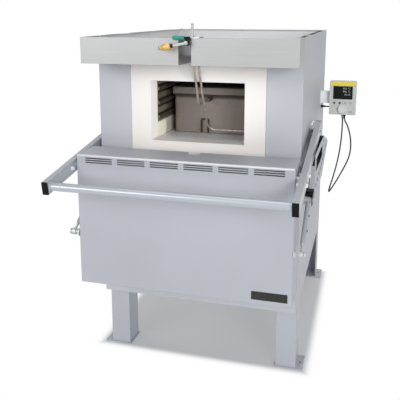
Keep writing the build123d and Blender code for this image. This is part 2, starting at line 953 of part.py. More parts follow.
def riser():
    bar = rod_z(manifold_top, riser_top, riser_x, manifold_y, riser_radius)
    cap = rod_z(riser_top - riser_cap_height, riser_top, riser_x, manifold_y, riser_cap_radius)
    return bar + cap


def feed_pipe():
    """From the manifold through the valve to the nozzle in front of the hood."""
    y = front + feed_reach
    points = [(feed_x, manifold_y0, feed_height), (feed_x, y, feed_height),
              (nozzle_start, y, nozzle_z)]
    return swept(round_path(points, feed_bend), feed_radius)


def gas_nozzle():
    """Brass hose coupling, drawn along -X and then tipped down a little."""
    body = Rot(0, -90, 0) * extrude(RegularPolygon(nozzle_radius, 6), amount=nozzle_hex_length)
    body += rod_x(-nozzle_length, 0, 0, 0, nozzle_body_radius)
    body += rod_x(-nozzle_length - nozzle_tip_length, -nozzle_length, 0, 0, nozzle_tip_radius)
    return Pos(nozzle_start, front + feed_reach, nozzle_z) * Rot(0, -nozzle_drop, 0) * body


def valve_body():
    half = valve_size / 2
    body = block(feed_x - half, feed_x + half, valve_y - half, valve_y + half,
                 valve_top - valve_size, valve_top)
    body = chamfer(body.edges().filter_by(Axis.Y), manifold_edge)
    body += rod_z(valve_top, lever_bottom - lever_gap, feed_x, valve_y, stem_neck_radius)
    body += rod_z(valve_top, lever_bottom + lever_thickness / 2, feed_x, valve_y, stem_radius)
    return body - rod_y(valve_y - half - over, valve_y + half + over, feed_x, feed_height, feed_radius)


def lever_hub():
    top = lever_bottom + lever_thickness
    hub = rod_z(lever_bottom, top, feed_x, valve_y, lever_hub_radius)
    return hub - rod_z(lever_bottom - over, lever_bottom + lever_thickness / 2 + lever_gap,
                       feed_x, valve_y, stem_radius + pin_clearance)


def lever_grip():
    """Bar with a rounded end, standing out from the hub to the left."""
    top = lever_bottom + lever_thickness
    half = lever_width / 2
    tip_x = feed_x - lever_reach + half
    grip = block(tip_x, feed_x, valve_y - half, valve_y + half, lever_bottom, top)
    grip += rod_z(lever_bottom, top, tip_x, valve_y, half)
    return grip - rod_z(lever_bottom - over, top + over, feed_x, valve_y, lever_hub_radius)


def hood_clip():
    y0 = hood_front + clip_sheet
    foot = block(slot_right - clip_length / 2, slot_right + clip_length, y0, y0 + 3 * clip_sheet,
                 housing_top, housing_top + clip_sheet)
    tab = block(slot_right + clip_length - clip_sheet, slot_right + clip_length, y0,
                y0 + 3 * clip_sheet, housing_top, housing_top + 3 * clip_sheet)
    return foot + tab


save("gas_manifold", gas_manifold())
save("gas_pipes", riser(), feed_pipe())
save("gas_nozzle", gas_nozzle())
save("valve_body", valve_body())
save("valve_lever_hub", lever_hub())
save("valve_lever_grip", lever_grip())
save("hood_clip", hood_clip())


# Controller
controller_right = controller_left + controller_width
controller_middle = controller_left + controller_width / 2
controller_bottom = controller_top - controller_height
fascia_front = front + controller_setback
fascia_back = fascia_front + fascia_thickness
controller_back = fascia_front + controller_depth
display_top = controller_top - display_drop
spindle_end = fascia_front - knob_length / 2
strip_top = controller_top - strip_drop


def key_x(index):
    return controller_middle + (index - (key_count - 1) / 2) * key_pitch


def controller_housing():
    shell = block(controller_left, controller_right, fascia_back, controller_back,
                  controller_bottom, controller_top)
    shell = fillet(shell.edges().filter_by(Axis.Y), controller_edge)
    shell -= block(controller_left + controller_wall, controller_right - controller_wall,
                   fascia_back - over, controller_back - controller_wall,
                   controller_bottom + controller_wall, controller_top - controller_wall)
    return shell


def controller_fascia():
    plate = block(controller_left, controller_right, fascia_front, fascia_back,
                  controller_bottom, controller_top)
    plate = fillet(plate.edges().filter_by(Axis.Y), controller_edge)
    plate -= block(controller_middle - display_width / 2, controller_middle + display_width / 2,
                   fascia_front - over, fascia_front + display_sink,
                   display_top - display_height, display_top)
    for index in range(key_count):
        plate -= rod_y(fascia_front - over, fascia_back + over, key_x(index), key_height,
                       key_radius + key_gap)
    plate += rod_y(spindle_end, fascia_front, controller_middle, knob_height, spindle_radius)
    return plate


def key(index):
    """Round key with a shoulder behind the fascia."""
    seat = fascia_back + key_gap
    body = rod_y(fascia_front - key_proud, seat, key_x(index), key_height, key_radius)
    return body + rod_y(seat, seat + shoulder_width, key_x(index), key_height,
                        key_radius + shoulder_width)


def control_knob():
    back_face = fascia_front - knob_gap
    face = back_face - knob_length
    knob = rod_y(face, back_face, controller_middle, knob_height, knob_radius)
    knob = chamfer(knob.edges().sort_by(Axis.Y)[0], knob_edge)
    knob -= rod_y(face - over, face + hollow_depth, controller_middle,
                  knob_height + hollow_offset, hollow_radius)
    return knob - rod_y(spindle_end - knob_gap, back_face + over, controller_middle,
                        knob_height, spindle_radius + pin_clearance)


def controller_bracket():
    """Angle on the side panel, folded again where the controller is screwed on."""
    high = bracket_bottom + bracket_height
    y = controller_back - bracket_depth
    foot = block(half_width, half_width + front_sheet, y - bracket_depth, y, bracket_bottom, high)
    web = block(half_width, controller_left, y - front_sheet, y, bracket_bottom, high)
    hook = block(controller_left - front_sheet, controller_left, y - front_sheet,
                 y + bracket_depth, bracket_bottom, high)
    return foot + web + hook


save("controller_housing", controller_housing())
save("controller_fascia", controller_fascia())
save("controller_strip", block(controller_left + controller_edge,
                               controller_right - controller_edge,
                               fascia_front - strip_proud, fascia_front,
                               strip_top - strip_height, strip_top))
save("display_window", block(controller_middle - display_width / 2,
                             controller_middle + display_width / 2,
                             fascia_front, fascia_front + display_sink,
                             display_top - display_height, display_top))
for number in range(key_count):
    save(f"key_{number + 1}", key(number))
save("control_knob", control_knob())
save("controller_bracket", controller_bracket())


# Cable: out of the controller's underside, down in a narrow loop and back to the housing
gland_face = controller_bottom - gland_length
cable_line = [
    (cable_exit_x, cable_exit_setback, gland_face),
    (cable_exit_x, cable_exit_setback, 905.0),
    (536.0, 826.0, 877.0),
    (553.0, 826.0, 822.0),
    (558.0, 826.0, 760.0),
    (548.0, 826.0, 705.0),
    (526.0, 825.0, 655.0),
    (503.0, 825.0, 607.0),
    (482.0, 825.0, 566.0),
    (464.0, 825.0, 536.0),
    (457.0, 851.0, 521.0),
    (459.0, 877.0, 536.0),
    (468.0, 876.0, 567.0),
    (480.0, 875.0, 618.0),
    (491.0, 874.0, 668.0),
    (501.0, 873.0, 728.0),
    (507.0, 872.0, 790.0),
    (509.5, 872.0, 856.0),
    (509.0, 872.0, 905.0),
    (499.0, 872.0, 938.0),
    (474.0, 872.0, 957.0),
    (440.0, cable_entry_setback, cable_entry_height),
    (half_width + gland_length, cable_entry_setback, cable_entry_height),
]
cable_points = [(x, front + setback, z) for x, setback, z in cable_line]


def cable_radii(points):
    radii = []
    for a, b, c in zip(points, points[1:], points[2:]):
        run_in, run_out = Vector(*b) - Vector(*a), Vector(*c) - Vector(*b)
        half_turn = math.radians(run_in.get_angle(run_out)) / 2
        radii.append(0.45 * min(run_in.length, run_out.length) / math.tan(half_turn))
    return radii


radii = cable_radii(cable_points)
cable_path = FilletPolyline(*cable_points, radius=radii)
cable = swept(cable_path, cable_radius)
print("cable bend radii", [round(r, 1) for r in radii])
print("cable length", round(cable_path.length, 1), "volume over section times length",
      round(cable.volume / (math.pi * cable_radius ** 2 * cable_path.length), 4))
save("cable", cable)
exit_gland = rod_z(gland_face, controller_bottom, cable_exit_x, front + cable_exit_setback,
                   gland_radius)
entry_gland = rod_x(half_width, half_width + gland_length, front + cable_entry_setback,
                    cable_entry_height, gland_radius)
save("cable_glands", exit_gland, entry_gland)


# Rear side: exhaust spigot and mains gland
def exhaust_spigot():
    tube = rod_y(back, back + spigot_length, spigot_offset, spigot_height, spigot_radius)
    return tube - rod_y(back - over, back + spigot_length + over, spigot_offset, spigot_height,
                        spigot_radius - spigot_wall)


def mains_gland():
    body = rod_y(back, back + mains_gland_length, mains_gland_offset, mains_gland_height,
                 mains_gland_radius)
    return body - rod_y(back - over, back + mains_gland_length + over, mains_gland_offset,
                        mains_gland_height, mains_gland_bore)


save("exhaust_spigot", exhaust_spigot())
save("mains_gland", mains_gland())


# Switchgear in the bay under the chamber
pan_top = housing_bottom + sheet
plate_y = front + switch_plate_setback
switch_plate = block(-switch_plate_width / 2, switch_plate_width / 2, plate_y,
                     plate_y + front_sheet, pan_top, pan_top + switch_plate_height)
contactors = []
for step in range(contactor_count):
    x = (step - (contactor_count - 1) / 2) * contactor_pitch
    z = pan_top + switch_plate_height / 2
    contactors.append(block(x - contactor_width / 2, x + contactor_width / 2,
                            plate_y - contactor_depth, plate_y, z, z + contactor_height))
transformer_y = front + transformer_setback
transformer = block(-transformer_width / 2, transformer_width / 2, transformer_y,
                    transformer_y + transformer_depth, pan_top, pan_top + transformer_height)
save("switchgear", switch_plate, *contactors, transformer)
print("door rises", round(travel_z, 2), "and goes back", round(travel_y, 2))
print("link anchor", round(anchor_y, 3), round(anchor_z, 3), "turn", round(link_turn, 4),
      "ratio", round(link_turn / door_swing, 6))
print("door pivot", round(door_pivot_y, 3), round(door_pivot_z, 3))
print("arm pivot", round(arm_pivot_y, 3), arm_pivot_height)
print("valve lever", feed_x, round(valve_y, 3), lever_bottom)
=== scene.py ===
# %% [markdown]
# # A chamber furnace for heat treatment
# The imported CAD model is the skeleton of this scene: every solid is already in place and already
# belongs to a body that can move. This lesson gives the solids their finishes, replaces the few
# that are only stand-ins, and adds the small pieces that make sheet metal look like a machine.
# Everything is in metres, with +Z up, +X to the right and +Y towards the back of the furnace.

# %% Load the model
import math

import bpy
import bmesh
from mathutils import Matrix, Vector


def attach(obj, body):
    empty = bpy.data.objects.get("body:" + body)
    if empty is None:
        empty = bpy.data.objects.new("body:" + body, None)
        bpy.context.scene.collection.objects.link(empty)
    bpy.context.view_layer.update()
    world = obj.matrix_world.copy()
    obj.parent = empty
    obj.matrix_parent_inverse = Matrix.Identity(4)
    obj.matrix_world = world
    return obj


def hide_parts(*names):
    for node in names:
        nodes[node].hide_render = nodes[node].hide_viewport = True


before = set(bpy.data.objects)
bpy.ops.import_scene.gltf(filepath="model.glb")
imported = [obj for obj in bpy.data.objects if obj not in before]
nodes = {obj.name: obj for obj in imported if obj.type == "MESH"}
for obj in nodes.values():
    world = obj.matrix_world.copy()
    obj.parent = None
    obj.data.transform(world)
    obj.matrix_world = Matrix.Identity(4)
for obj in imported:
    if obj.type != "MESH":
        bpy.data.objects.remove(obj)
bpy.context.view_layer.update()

# %% [markdown]
# ## One way of saying where things are
# The drawings of a machine measure from its own faces, and not from the middle of a room. Here a
# place is given in millimetres: across, behind the housing's front (its setback), and above the
# floor. One small function turns that into Blender's metres, so every later cell can speak the
# language of the drawing.

# %% Places in millimetres
HOUSING_FRONT = -550.0


def spot(across, setback, height):
    return Vector((across, HOUSING_FRONT + setback, height)) / 1000


print("housing front at", HOUSING_FRONT, "mm")

# %% [markdown]
# ## The camera
# The picture was taken from the right of the furnace and from above its middle, with upright
# lines kept upright. A real camera does that with a shifted lens, and Blender's camera has the
# same shift. Only a part of it is used, and the rest is a slight tilt down: a fully shifted lens
# would push the furnace out of the frame in every other view.

# %% Camera
CAMERA_PLACE, CAMERA_TILT, CAMERA_TURN = (0.6244, -2.7261, 1.4177), 11.54, 15.70
camera_data = bpy.data.cameras.new("camera")
camera_data.sensor_fit = "HORIZONTAL"
camera_data.sensor_width = 36.0
camera_data.lens = 54.09
camera_data.shift_y = -0.16
camera_data.clip_end = 60.0
camera = bpy.data.objects.new("camera", camera_data)
camera.location = CAMERA_PLACE
camera.rotation_euler = (math.radians(90 - CAMERA_TILT), 0, math.radians(CAMERA_TURN))
bpy.context.scene.collection.objects.link(camera)
bpy.context.scene.camera = camera
print("camera at", tuple(round(v, 3) for v in camera.location))

# %% [markdown]
# ## The controller's cable
# A cable is a fixed length of something springy, so it is one smooth curve and not a row of
# elbows. It leaves the controller straight down, swings out, hangs in a narrow loop and climbs
# back to the housing behind. A NURBS spline of order 3 runs smoothly inside its control points.
# The order is set after the points, because Blender lowers it when a spline is still short. The
# thickness is written in each point's radius, under a bevel depth of 1, because the box that
# Blender measures round a curve counts those radii: left at 1 m, they make it a metre too large.

# %% Cable
CABLE_RADIUS = 0.0035
CABLE_POINTS = [
    (518, 826, 922), (518, 826, 905), (536, 826, 877), (553, 826, 822), (558, 826, 760),
    (548, 826, 705), (526, 825, 655), (503, 825, 607), (482, 825, 566), (464, 825, 536),
    (457, 851, 521), (459, 877, 536), (468, 876, 567), (480, 875, 618), (491, 874, 668),
    (501, 873, 728), (507, 872, 790), (509.5, 872, 856), (509, 872, 905), (499, 872, 938),
    (474, 872, 957), (440, 872, 960), (410, 872, 960),
]


def smooth_curve(name, points, radius):
    curve = bpy.data.curves.new(name, "CURVE")
    curve.dimensions = "3D"
    spline = curve.splines.new("NURBS")
    spline.points.add(len(points) - 1)
    for place, point in zip(points, spline.points):
        point.co = (*spot(*place), 1.0)
        point.radius = radius
    spline.order_u = 3
    spline.use_endpoint_u = True
    curve.resolution_u = 8
    curve.bevel_depth = 1.0
    curve.bevel_resolution = 5
    curve.use_fill_caps = True
    piece = bpy.data.objects.new(name, curve)
    bpy.context.scene.collection.objects.link(piece)
    return piece


cable_line = smooth_curve("controller_cable", CABLE_POINTS, CABLE_RADIUS)
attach(cable_line, "housing")
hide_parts("cable")
tuple(spot(*CABLE_POINTS[0]))
print("cable has", len(CABLE_POINTS), "control points")

# %% [markdown]
# ## Finishes as arithmetic
# A procedural finish is a small calculation for every point of a surface. Wiring it by hand is
# slow to read, so one class wraps a socket and lets Python's own operators add the Math nodes:
# `1 - mask * 0.5` builds two nodes and returns a socket. Every other node comes from one method
# that takes its type, its settings and its inputs. The small methods under it are the nodes that
# the recipes use again and again, such as a soft step from one value to another.

# %% Shader helpers
class Wire:
    """An output socket that can be used in a sum."""

    def __init__(self, finish, socket):
        self.finish = finish
        self.socket = socket

    def _math(self, operation, first, second):
        return self.finish.node("Math", {"operation": operation}, {0: first, 1: second})

    def __add__(self, other):
        return self._math("ADD", self, other)

    def __radd__(self, other):
        return self._math("ADD", other, self)

    def __sub__(self, other):
        return self._math("SUBTRACT", self, other)

    def __rsub__(self, other):
        return self._math("SUBTRACT", other, self)

    def __mul__(self, other):
        return self._math("MULTIPLY", self, other)

    def __rmul__(self, other):
        return self._math("MULTIPLY", other, self)


class Finish:
    """A material under construction, with the calls that its recipes need."""

    def __init__(self, name, **constants):
        self.material = bpy.data.materials.new(name)
        self.material.use_nodes = True
        self.tree = self.material.node_tree
        self.shader = self.tree.nodes["Principled BSDF"]
        self.place = self.node("TexCoord", {}, {}, "Object")
        for socket, value in constants.items():
            self.shader.inputs[socket.replace("_", " ")].default_value = value

    def node(self, kind, settings, sockets, output=0):
        node = self.tree.nodes.new("ShaderNode" + kind)
        for name, value in settings.items():
            setattr(node, name, value)
        for name, value in sockets.items():
            if isinstance(value, Wire):
                self.tree.links.new(value.socket, node.inputs[name])
            else:
                node.inputs[name].default_value = value
        return Wire(self, node.outputs[output])

    def set(self, **wires):
        for name, wire in wires.items():
            self.tree.links.new(wire.socket, self.shader.inputs[name.replace("_", " ")])
        return self.material

    def stretched(self, x, y, z):
        return self.node("Mapping", {}, {"Vector": self.place, "Scale": (x, y, z)})

    def noise(self, scale, detail=3.0, roughness=0.55, place=None):
        return self.node("TexNoise", {}, {"Vector": place or self.place, "Scale": scale,
                                          "Detail": detail, "Roughness": roughness})

    def between(self, value, low, high, to_low=0.0, to_high=1.0):
        return self.node("MapRange", {"interpolation_type": "SMOOTHSTEP"}, {
            "Value": value, "From Min": low, "From Max": high,
            "To Min": to_low, "To Max": to_high})

    def until(self, value, edge, blur):
        """1 up to the edge of a mask, and 0 from a blur's width past it."""
        return self.between(value, edge, edge + blur, 1.0, 0.0)

    def mix(self, factor, first, second):
        first = first if isinstance(first, Wire) else (*first, 1)
        second = second if isinstance(second, Wire) else (*second, 1)
        return self.node("Mix", {"data_type": "RGBA"}, {0: factor, 6: first, 7: second}, 2)

    def axis(self, name):
        return self.node("SeparateXYZ", {}, {"Vector": self.place}, name)

    def absolute(self, value):
        return self.node("Math", {"operation": "ABSOLUTE"}, {0: value})

    def soft_edges(self, radius):
        return self.node("Bevel", {"samples": 4}, {"Radius": radius})

    def bump(self, height, distance, strength, normal):
        return self.node("Bump", {}, {"Height": height, "Distance": distance,
                                      "Strength": strength, "Normal": normal})


def srgb(red, green, blue):
    """A colour as a paint chart gives it, turned into the linear values of a shader."""
    def linear(value):
        value /= 255
        return value / 12.92 if value <= 0.04045 else ((value + 0.055) / 1.055) ** 2.4
    return linear(red), linear(green), linear(blue)


def darker(colour, share):
    return tuple(c * share for c in colour)


print("shader helpers ready")

# %% [markdown]
# ## Powder-coated sheet
# The housing, door, arms, legs and guards are folded sheet with baked powder paint. Paint of this
# kind isn't flat: it dries with a fine orange-peel skin, its gloss wanders a little, and on bends
# the light catches a soft rounded edge. The skin is a fine noise that only feeds the bump, the
# wandering is a large slow noise, and the rounded bend is a Bevel node, because folding every
# solid's edges in the mesh would change the CAD. On the panels the tray behind the hood, inside
# the rims, is paler, because light bounces about in it: a box of soft steps marks that place.

# %% Painted sheet
TRAY_FLOOR, TRAY_RIM, TRAY_HALF_WIDTH, TRAY_REAR = 1.2622, 1.3316, 0.3984, 0.4976


def painted(name, colour, shade=0.06, gloss=0.42, tray=None, metal=0.0, skin=0.35):
    finish = Finish(name, Metallic=metal)
    cloud = finish.noise(2.3, detail=2.0)
    peel = finish.noise(900.0, detail=1.0)
    dust = finish.between(finish.noise(38.0, detail=6.0, roughness=0.7), 0.56, 0.78)
    tone = finish.mix(finish.between(cloud, 0.3, 0.7), darker(colour, 1 - shade), colour)
    tone = finish.mix(dust * 0.25, tone, darker(colour, 0.93))
    if tray:
        inside = (finish.between(finish.axis("Z"), TRAY_FLOOR, TRAY_FLOOR + 0.0004)
                  * finish.until(finish.axis("Z"), TRAY_RIM, 0.0006)
                  * finish.until(finish.absolute(finish.axis("X")), TRAY_HALF_WIDTH, 0.0004)
                  * finish.until(finish.axis("Y"), TRAY_REAR, 0.0008))
        tone = finish.mix(inside, tone, tray)
    rough = gloss + cloud * 0.10 + dust * 0.08
    normal = finish.bump(peel, 0.00006, skin, finish.soft_edges(0.0026))
    return finish.set(Base_Color=tone, Roughness=rough, Normal=normal)


body_paint = painted("body_paint", srgb(184, 187, 195))
arm_paint = painted("arm_paint", srgb(183, 187, 194), gloss=0.26)
panel_paint = painted("panel_paint", srgb(184, 187, 195), tray=srgb(234, 234, 233))
# The front frame wears the body paint made paler: painted light, for the light that the frame has
# beside the mouth.
frame_painted_light = painted("frame_painted_light", srgb(192, 195, 202))
# A paler copy of the paint for the door's top edge: a painted highlight.
edge_highlight_paint = painted("edge_highlight_paint", srgb(232, 234, 238), shade=0.02, gloss=0.3)
bar_paint = painted("bar_paint", srgb(186, 191, 199), shade=0.03, gloss=0.27, metal=0.45,
                    skin=0.03)
print("paints:", body_paint.name, arm_paint.name, panel_paint.name, "and three more")

# %% [markdown]
# ## Brushed stainless steel
# The hood above the door is bare stainless sheet. Its grain runs along the sheet, so the noise
# is stretched: nearly constant along X and very fine across. The same streaks move the roughness,
# which is what the eye reads as brushed metal. Zinc, brass and tube steel share a second recipe.

# %% Stainless and other metals
GRAIN_ACROSS, GRAIN_ALONG = 1400.0, 9.0


def brushed(name, colour):
    """Bare sheet whose grain runs along X."""
    finish = Finish(name, Metallic=1.0)
    grain = finish.stretched(GRAIN_ALONG, GRAIN_ACROSS, GRAIN_ACROSS)
    streak = finish.noise(1.0, detail=2.0, place=grain)
    smear = finish.noise(5.0, detail=4.0)
    tone = finish.mix(finish.between(streak, 0.3, 0.7), darker(colour, 0.93), colour)
    tone = finish.mix(finish.between(smear, 0.45, 0.75) * 0.15, tone, darker(colour, 0.88))
    gloss = 0.34 + streak * 0.10 + smear * 0.08
    normal = finish.bump(streak, 0.00002, 0.5, finish.soft_edges(0.0012))
    return finish.set(Base_Color=tone, Roughness=gloss, Normal=normal)


def plated(name, colour, rough, wear=0.25, metal=0.8):
    """Zinc, brass or drawn steel: a worn skin whose gloss changes in patches."""
    finish = Finish(name, Metallic=metal)
    patch = finish.noise(56.0, detail=5.0, roughness=0.6)
    fine = finish.noise(1200.0, detail=2.0)
    tone = finish.mix(finish.between(patch, 0.38, 0.68), colour, darker(colour, 1 - wear))
    gloss = rough + patch * 0.16 + fine * 0.05
    normal = finish.bump(fine, 0.00003, 0.5, finish.soft_edges(0.0005))
    return finish.set(Base_Color=tone, Roughness=gloss, Normal=normal)


stainless = brushed("stainless", srgb(182, 183, 183))
zinc = plated("zinc_steel", srgb(208, 210, 212), rough=0.36)
bright_zinc = plated("bright_zinc", srgb(244, 245, 247), rough=0.3, wear=0.08, metal=0.3)
brass = plated("brass", srgb(236, 194, 122), rough=0.3)
pipe_steel = plated("pipe_steel", srgb(206, 206, 205), rough=0.5, wear=0.12, metal=0.25)
tube_steel = plated("gas_tube_steel", srgb(202, 190, 181), rough=0.3, wear=0.4, metal=0.75)
print("metals:", stainless.name, zinc.name, brass.name, "and three more")

# %% [markdown]
# ## Plastics, rubber and black steel
# These parts share one recipe: a dyed base with a grained skin. Only the colour, the gloss, the
# mottling and the size of the grain differ, so one function makes them all.

# %% Dyed materials
def dyed(name, colour, gloss=0.5, grain=600.0, mottle=0.12, shine=0.5):
    finish = Finish(name, Specular_IOR_Level=shine)
    skin = finish.noise(grain, detail=2.0)
    patch = finish.noise(22.0, detail=4.0)
    tone = finish.mix(finish.between(patch, 0.35, 0.7), colour, darker(colour, 1 - mottle))
    normal = finish.bump(skin, 0.00004, 0.6, finish.soft_edges(0.0006))
    return finish.set(Base_Color=tone, Roughness=gloss + patch * 0.12, Normal=normal)


black_steel = dyed("black_metal", srgb(26, 26, 29), gloss=0.34, mottle=0.3, shine=0.3)
black_plastic = dyed("black_plastic", srgb(15, 15, 17), gloss=0.5, shine=0.16)
dark_key = dyed("dark_key", srgb(62, 64, 68), gloss=0.4)
lever_teal = dyed("lever_teal", srgb(20, 150, 132), gloss=0.3)
controller_grey = dyed("controller_grey", srgb(205, 208, 204), gloss=0.44, mottle=0.05)
wheel_grey = dyed("wheel_grey", srgb(178, 181, 184), gloss=0.36, mottle=0.05)
knob_grey = dyed("knob_grey", srgb(224, 226, 224), gloss=0.36, mottle=0.04)
bracket_white = dyed("bracket_white", srgb(240, 240, 242), gloss=0.4, mottle=0.04)
strip_yellow = dyed("strip_yellow", srgb(246, 226, 40), gloss=0.4, mottle=0.06)
cable_rubber = dyed("cable_rubber", srgb(52, 52, 55), gloss=0.46, grain=900.0)
bare_plate = dyed("bare_plate", srgb(30, 29, 27), gloss=0.3, mottle=0.25)
print("dyed:", black_steel.name, black_plastic.name, lever_teal.name, "and eight more")

# %% [markdown]
# ## Fibre and brick
# The mouth of the chamber is a frame of pressed ceramic fibre: matt, nearly white and slightly
# felted. Behind it is lightweight brick, which the heat has stained brown around the heating
# coils. The stain is placed by height: each groove's height gives a soft dark band. From the
# lowest groove up the whole wall is darker, and that is painted shade, for the shade under the
# top of the mouth, with soot mixed in.

# %% Ceramics
GROOVES = (1.006, 1.064, 1.122)


def fibre(name, colour, stain):
    finish = Finish(name, Roughness=0.95)
    felt = finish.noise(260.0, detail=6.0, roughness=0.7)
    lumps = finish.noise(26.0, detail=3.0)
    spots = finish.between(finish.noise(9.0, detail=5.0, roughness=0.65), 0.60, 0.80)
    tone = finish.mix(spots * 0.30, colour, stain)
    tone = finish.mix(finish.between(felt, 0.35, 0.75) * 0.12, tone, stain)
    normal = finish.bump(felt * 0.6 + lumps, 0.0009, 0.45, finish.soft_edges(0.002))
    return finish.set(Base_Color=tone, Normal=normal)


def brick(name):
    finish = Finish(name, Roughness=0.92)
    height = finish.axis("Z")
    pores = finish.noise(420.0, detail=4.0, roughness=0.7)
    soot_and_shade = finish.noise(16.0, detail=5.0, roughness=0.6)
    band = sum(finish.until(finish.absolute(height - level), 0.010, 0.016) for level in GROOVES)
    tone = finish.mix(finish.between(soot_and_shade, 0.40, 0.80) * 0.35, srgb(232, 229, 212),
                      srgb(160, 152, 128))
    # Painted shade, with soot: the wall above the lowest groove is darkened.
    above = finish.between(height, min(GROOVES) - 0.014, min(GROOVES) + 0.004)
    tone = finish.mix(above * (0.8 + soot_and_shade * 0.3), tone, srgb(74, 69, 50))
    tone = finish.mix(band * (0.55 + soot_and_shade * 0.5), tone, srgb(58, 52, 40))
    normal = finish.bump(pores + soot_and_shade, 0.0006, 0.6, finish.soft_edges(0.002))
    return finish.set(Base_Color=tone, Normal=normal)


collar_fibre = fibre("collar_fibre", srgb(238, 235, 232), srgb(222, 215, 203))
insulation = fibre("insulation", srgb(226, 222, 208), srgb(190, 180, 158))
lining_brick = brick("lining_brick")
print("ceramics:", collar_fibre.name, insulation.name, lining_brick.name)

# %% [markdown]
# ## Scaled heat-resisting steel
# The gas box, its lid and the hearth plate have been red hot many times. Such steel turns brown
# grey, with rust along the welds and edges where the scale flakes off. Rust follows two masks:
# a patchy noise, and the closeness to a rim (its two heights) or a corner (its X). The scale has
# a few dark pits. Between the heights of soot_and_shade the steel is darkened: painted shade, the
# shadow line under the lid's overhang, with some soot. The hearth's patches are drawn out along
# Y, the way the box is pushed over it, and its nearly white colour is painted light, for the
# sheen the plate catches in the dim chamber.

# %% Hot steel
def scaled(name, colour, rust, rim, amount=0.5, metal=0.35, rough=0.5, corner=None,
           soot_and_shade=None, drawn=None):
    finish = Finish(name, Metallic=metal)
    patch = finish.noise(7.0, detail=7.0, roughness=0.62,
                         place=finish.stretched(*drawn) if drawn else None)
    fleck = finish.noise(120.0, detail=4.0, roughness=0.7)
    near = finish.between(finish.axis("Z"), *rim, 1.0, 0.0)
    if corner:
        wide = finish.absolute(finish.axis("X"))
        near = near + finish.between(wide, corner - 0.012, corner)
    rusty = finish.between(patch + fleck * 0.22 + near * 0.20, 0.64, 0.84) * amount
    tone = finish.mix(finish.between(patch, 0.3, 0.7), darker(colour, 0.82), colour)
    tone = finish.mix(rusty, tone, rust)
    pits = finish.between(finish.noise(60.0, detail=1.5, roughness=0.5), 0.71, 0.78)
    tone = finish.mix(pits * amount, tone, darker(rust, 0.3))
    # Painted shade with some soot: a dark band between the given heights, for the shadow line
    # under the lid.
    if soot_and_shade:
        start, full, end = soot_and_shade
        height = finish.axis("Z") + patch * 0.006
        shade_band = finish.between(height, start, full) * finish.until(height, end, 0.002)
        tone = finish.mix(shade_band * 0.85, tone, srgb(48, 38, 32))
    gloss = rough + fleck * 0.14 + rusty * 0.25
    normal = finish.bump(patch * 0.4 + fleck, 0.0004, 0.4, finish.soft_edges(0.001))
    return finish.set(Base_Color=tone, Roughness=gloss, Normal=normal)


box_steel = scaled("box_steel", srgb(152, 142, 136), srgb(104, 72, 48), (0.918, 0.938),
                   amount=0.45, corner=0.151, soot_and_shade=(1.068, 1.083, 1.2))
lid_steel = scaled("lid_steel", srgb(150, 140, 133), srgb(118, 70, 42), (1.058, 1.072),
                   corner=0.158, soot_and_shade=(1.080, 1.086, 1.0915))
# The hearth plate is grey, and its nearly white colour is painted light, for the sheen it catches
# in the dim chamber.
hearth_steel_painted_sheen = scaled("hearth_steel_painted_sheen", srgb(250, 250, 255), srgb(132, 112, 98), (0.89, 0.90),
                      amount=0.35, metal=0.0, rough=0.3, drawn=(6.0, 0.9, 1.0))
lug_steel = scaled("lug_steel", srgb(66, 57, 51), srgb(84, 50, 32), (0.918, 0.945), amount=0.6)
heater_ceramic = scaled("heater_ceramic", srgb(150, 138, 116), srgb(70, 56, 44), (0.9, 0.95),
                        metal=0.0)
coil_alloy = scaled("coil_alloy", srgb(74, 66, 56), srgb(52, 40, 32), (0.9, 0.95), metal=0.6)
print("hot steel:", box_steel.name, lid_steel.name, hearth_steel_painted_sheen.name, "and three more")

# %% [markdown]
# ## The display
# The controller's window is a dark glass over a dim panel, smooth and only a little shiny. What
# it shows is a piece of its own, made further down, so the glass stays one plain dark colour.

# %% Display glass
def display_glass():
    finish = Finish("display_dark", Coat_Weight=0.1, Coat_Roughness=0.2, Roughness=0.35,
                    Specular_IOR_Level=0.15)
    dim = finish.between(finish.noise(30.0, detail=2.0), 0.3, 0.7)
    return finish.set(Base_Color=finish.mix(dim, srgb(7, 8, 9), srgb(9, 10, 11)))


display_dark = display_glass()
print("display:", display_dark.name)

# %% [markdown]
# ## Give every CAD node its finish
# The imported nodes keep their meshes. Only the material in their slot changes, so each one gets
# the finish of the real part. The table lists each finish with the nodes that wear it, and a
# node that isn't in it is painted sheet.

# %% Assign the finishes
WORN_BY = (
    (panel_paint, "side_panels rear_panel"), (frame_painted_light, "front_frame"),
    (arm_paint, "arm_right arm_left"), (bar_paint, "handle_tube"),
    (stainless, "hood_left hood_right exhaust_spigot door_inner_frame"),
    (zinc, "housing_pivots door_pivots link_rod_right link_rod_left inner_shelves"),
    (bright_zinc, "hood_clip"), (brass, "arm_bushes gas_nozzle"), (pipe_steel, "gas_pipes"),
    (tube_steel, "gas_inlet_tube gas_outlet_tube"),
    # mechanism_plates wear black steel as painted shade: the plates inside the guards are black
    # for the shade that lies there.
    (black_steel, "gas_manifold valve_body switchgear mechanism_plates"),
    (black_plastic, "arm_end_caps valve_lever_hub mains_gland"),
    (lever_teal, "valve_lever_grip"), (controller_grey, "controller_housing controller_fascia"),
    (strip_yellow, "controller_strip"), (bracket_white, "controller_bracket"),
    (display_dark, "display_window"), (dark_key, "key_1 key_2"), (wheel_grey, "key_3 key_4"),
    (knob_grey, "control_knob"), (collar_fibre, "collar door_plug"),
    (insulation, "backing_insulation"), (lining_brick, "chamber_lining"),
    (heater_ceramic, "carrier_tubes thermocouple"), (hearth_steel_painted_sheen, "hearth_plate"),
    (box_steel, "gas_box"), (lid_steel, "gas_box_lid"), (lug_steel, "box_fittings"),
)
finish_of = {name: finish for finish, names in WORN_BY for name in names.split()}
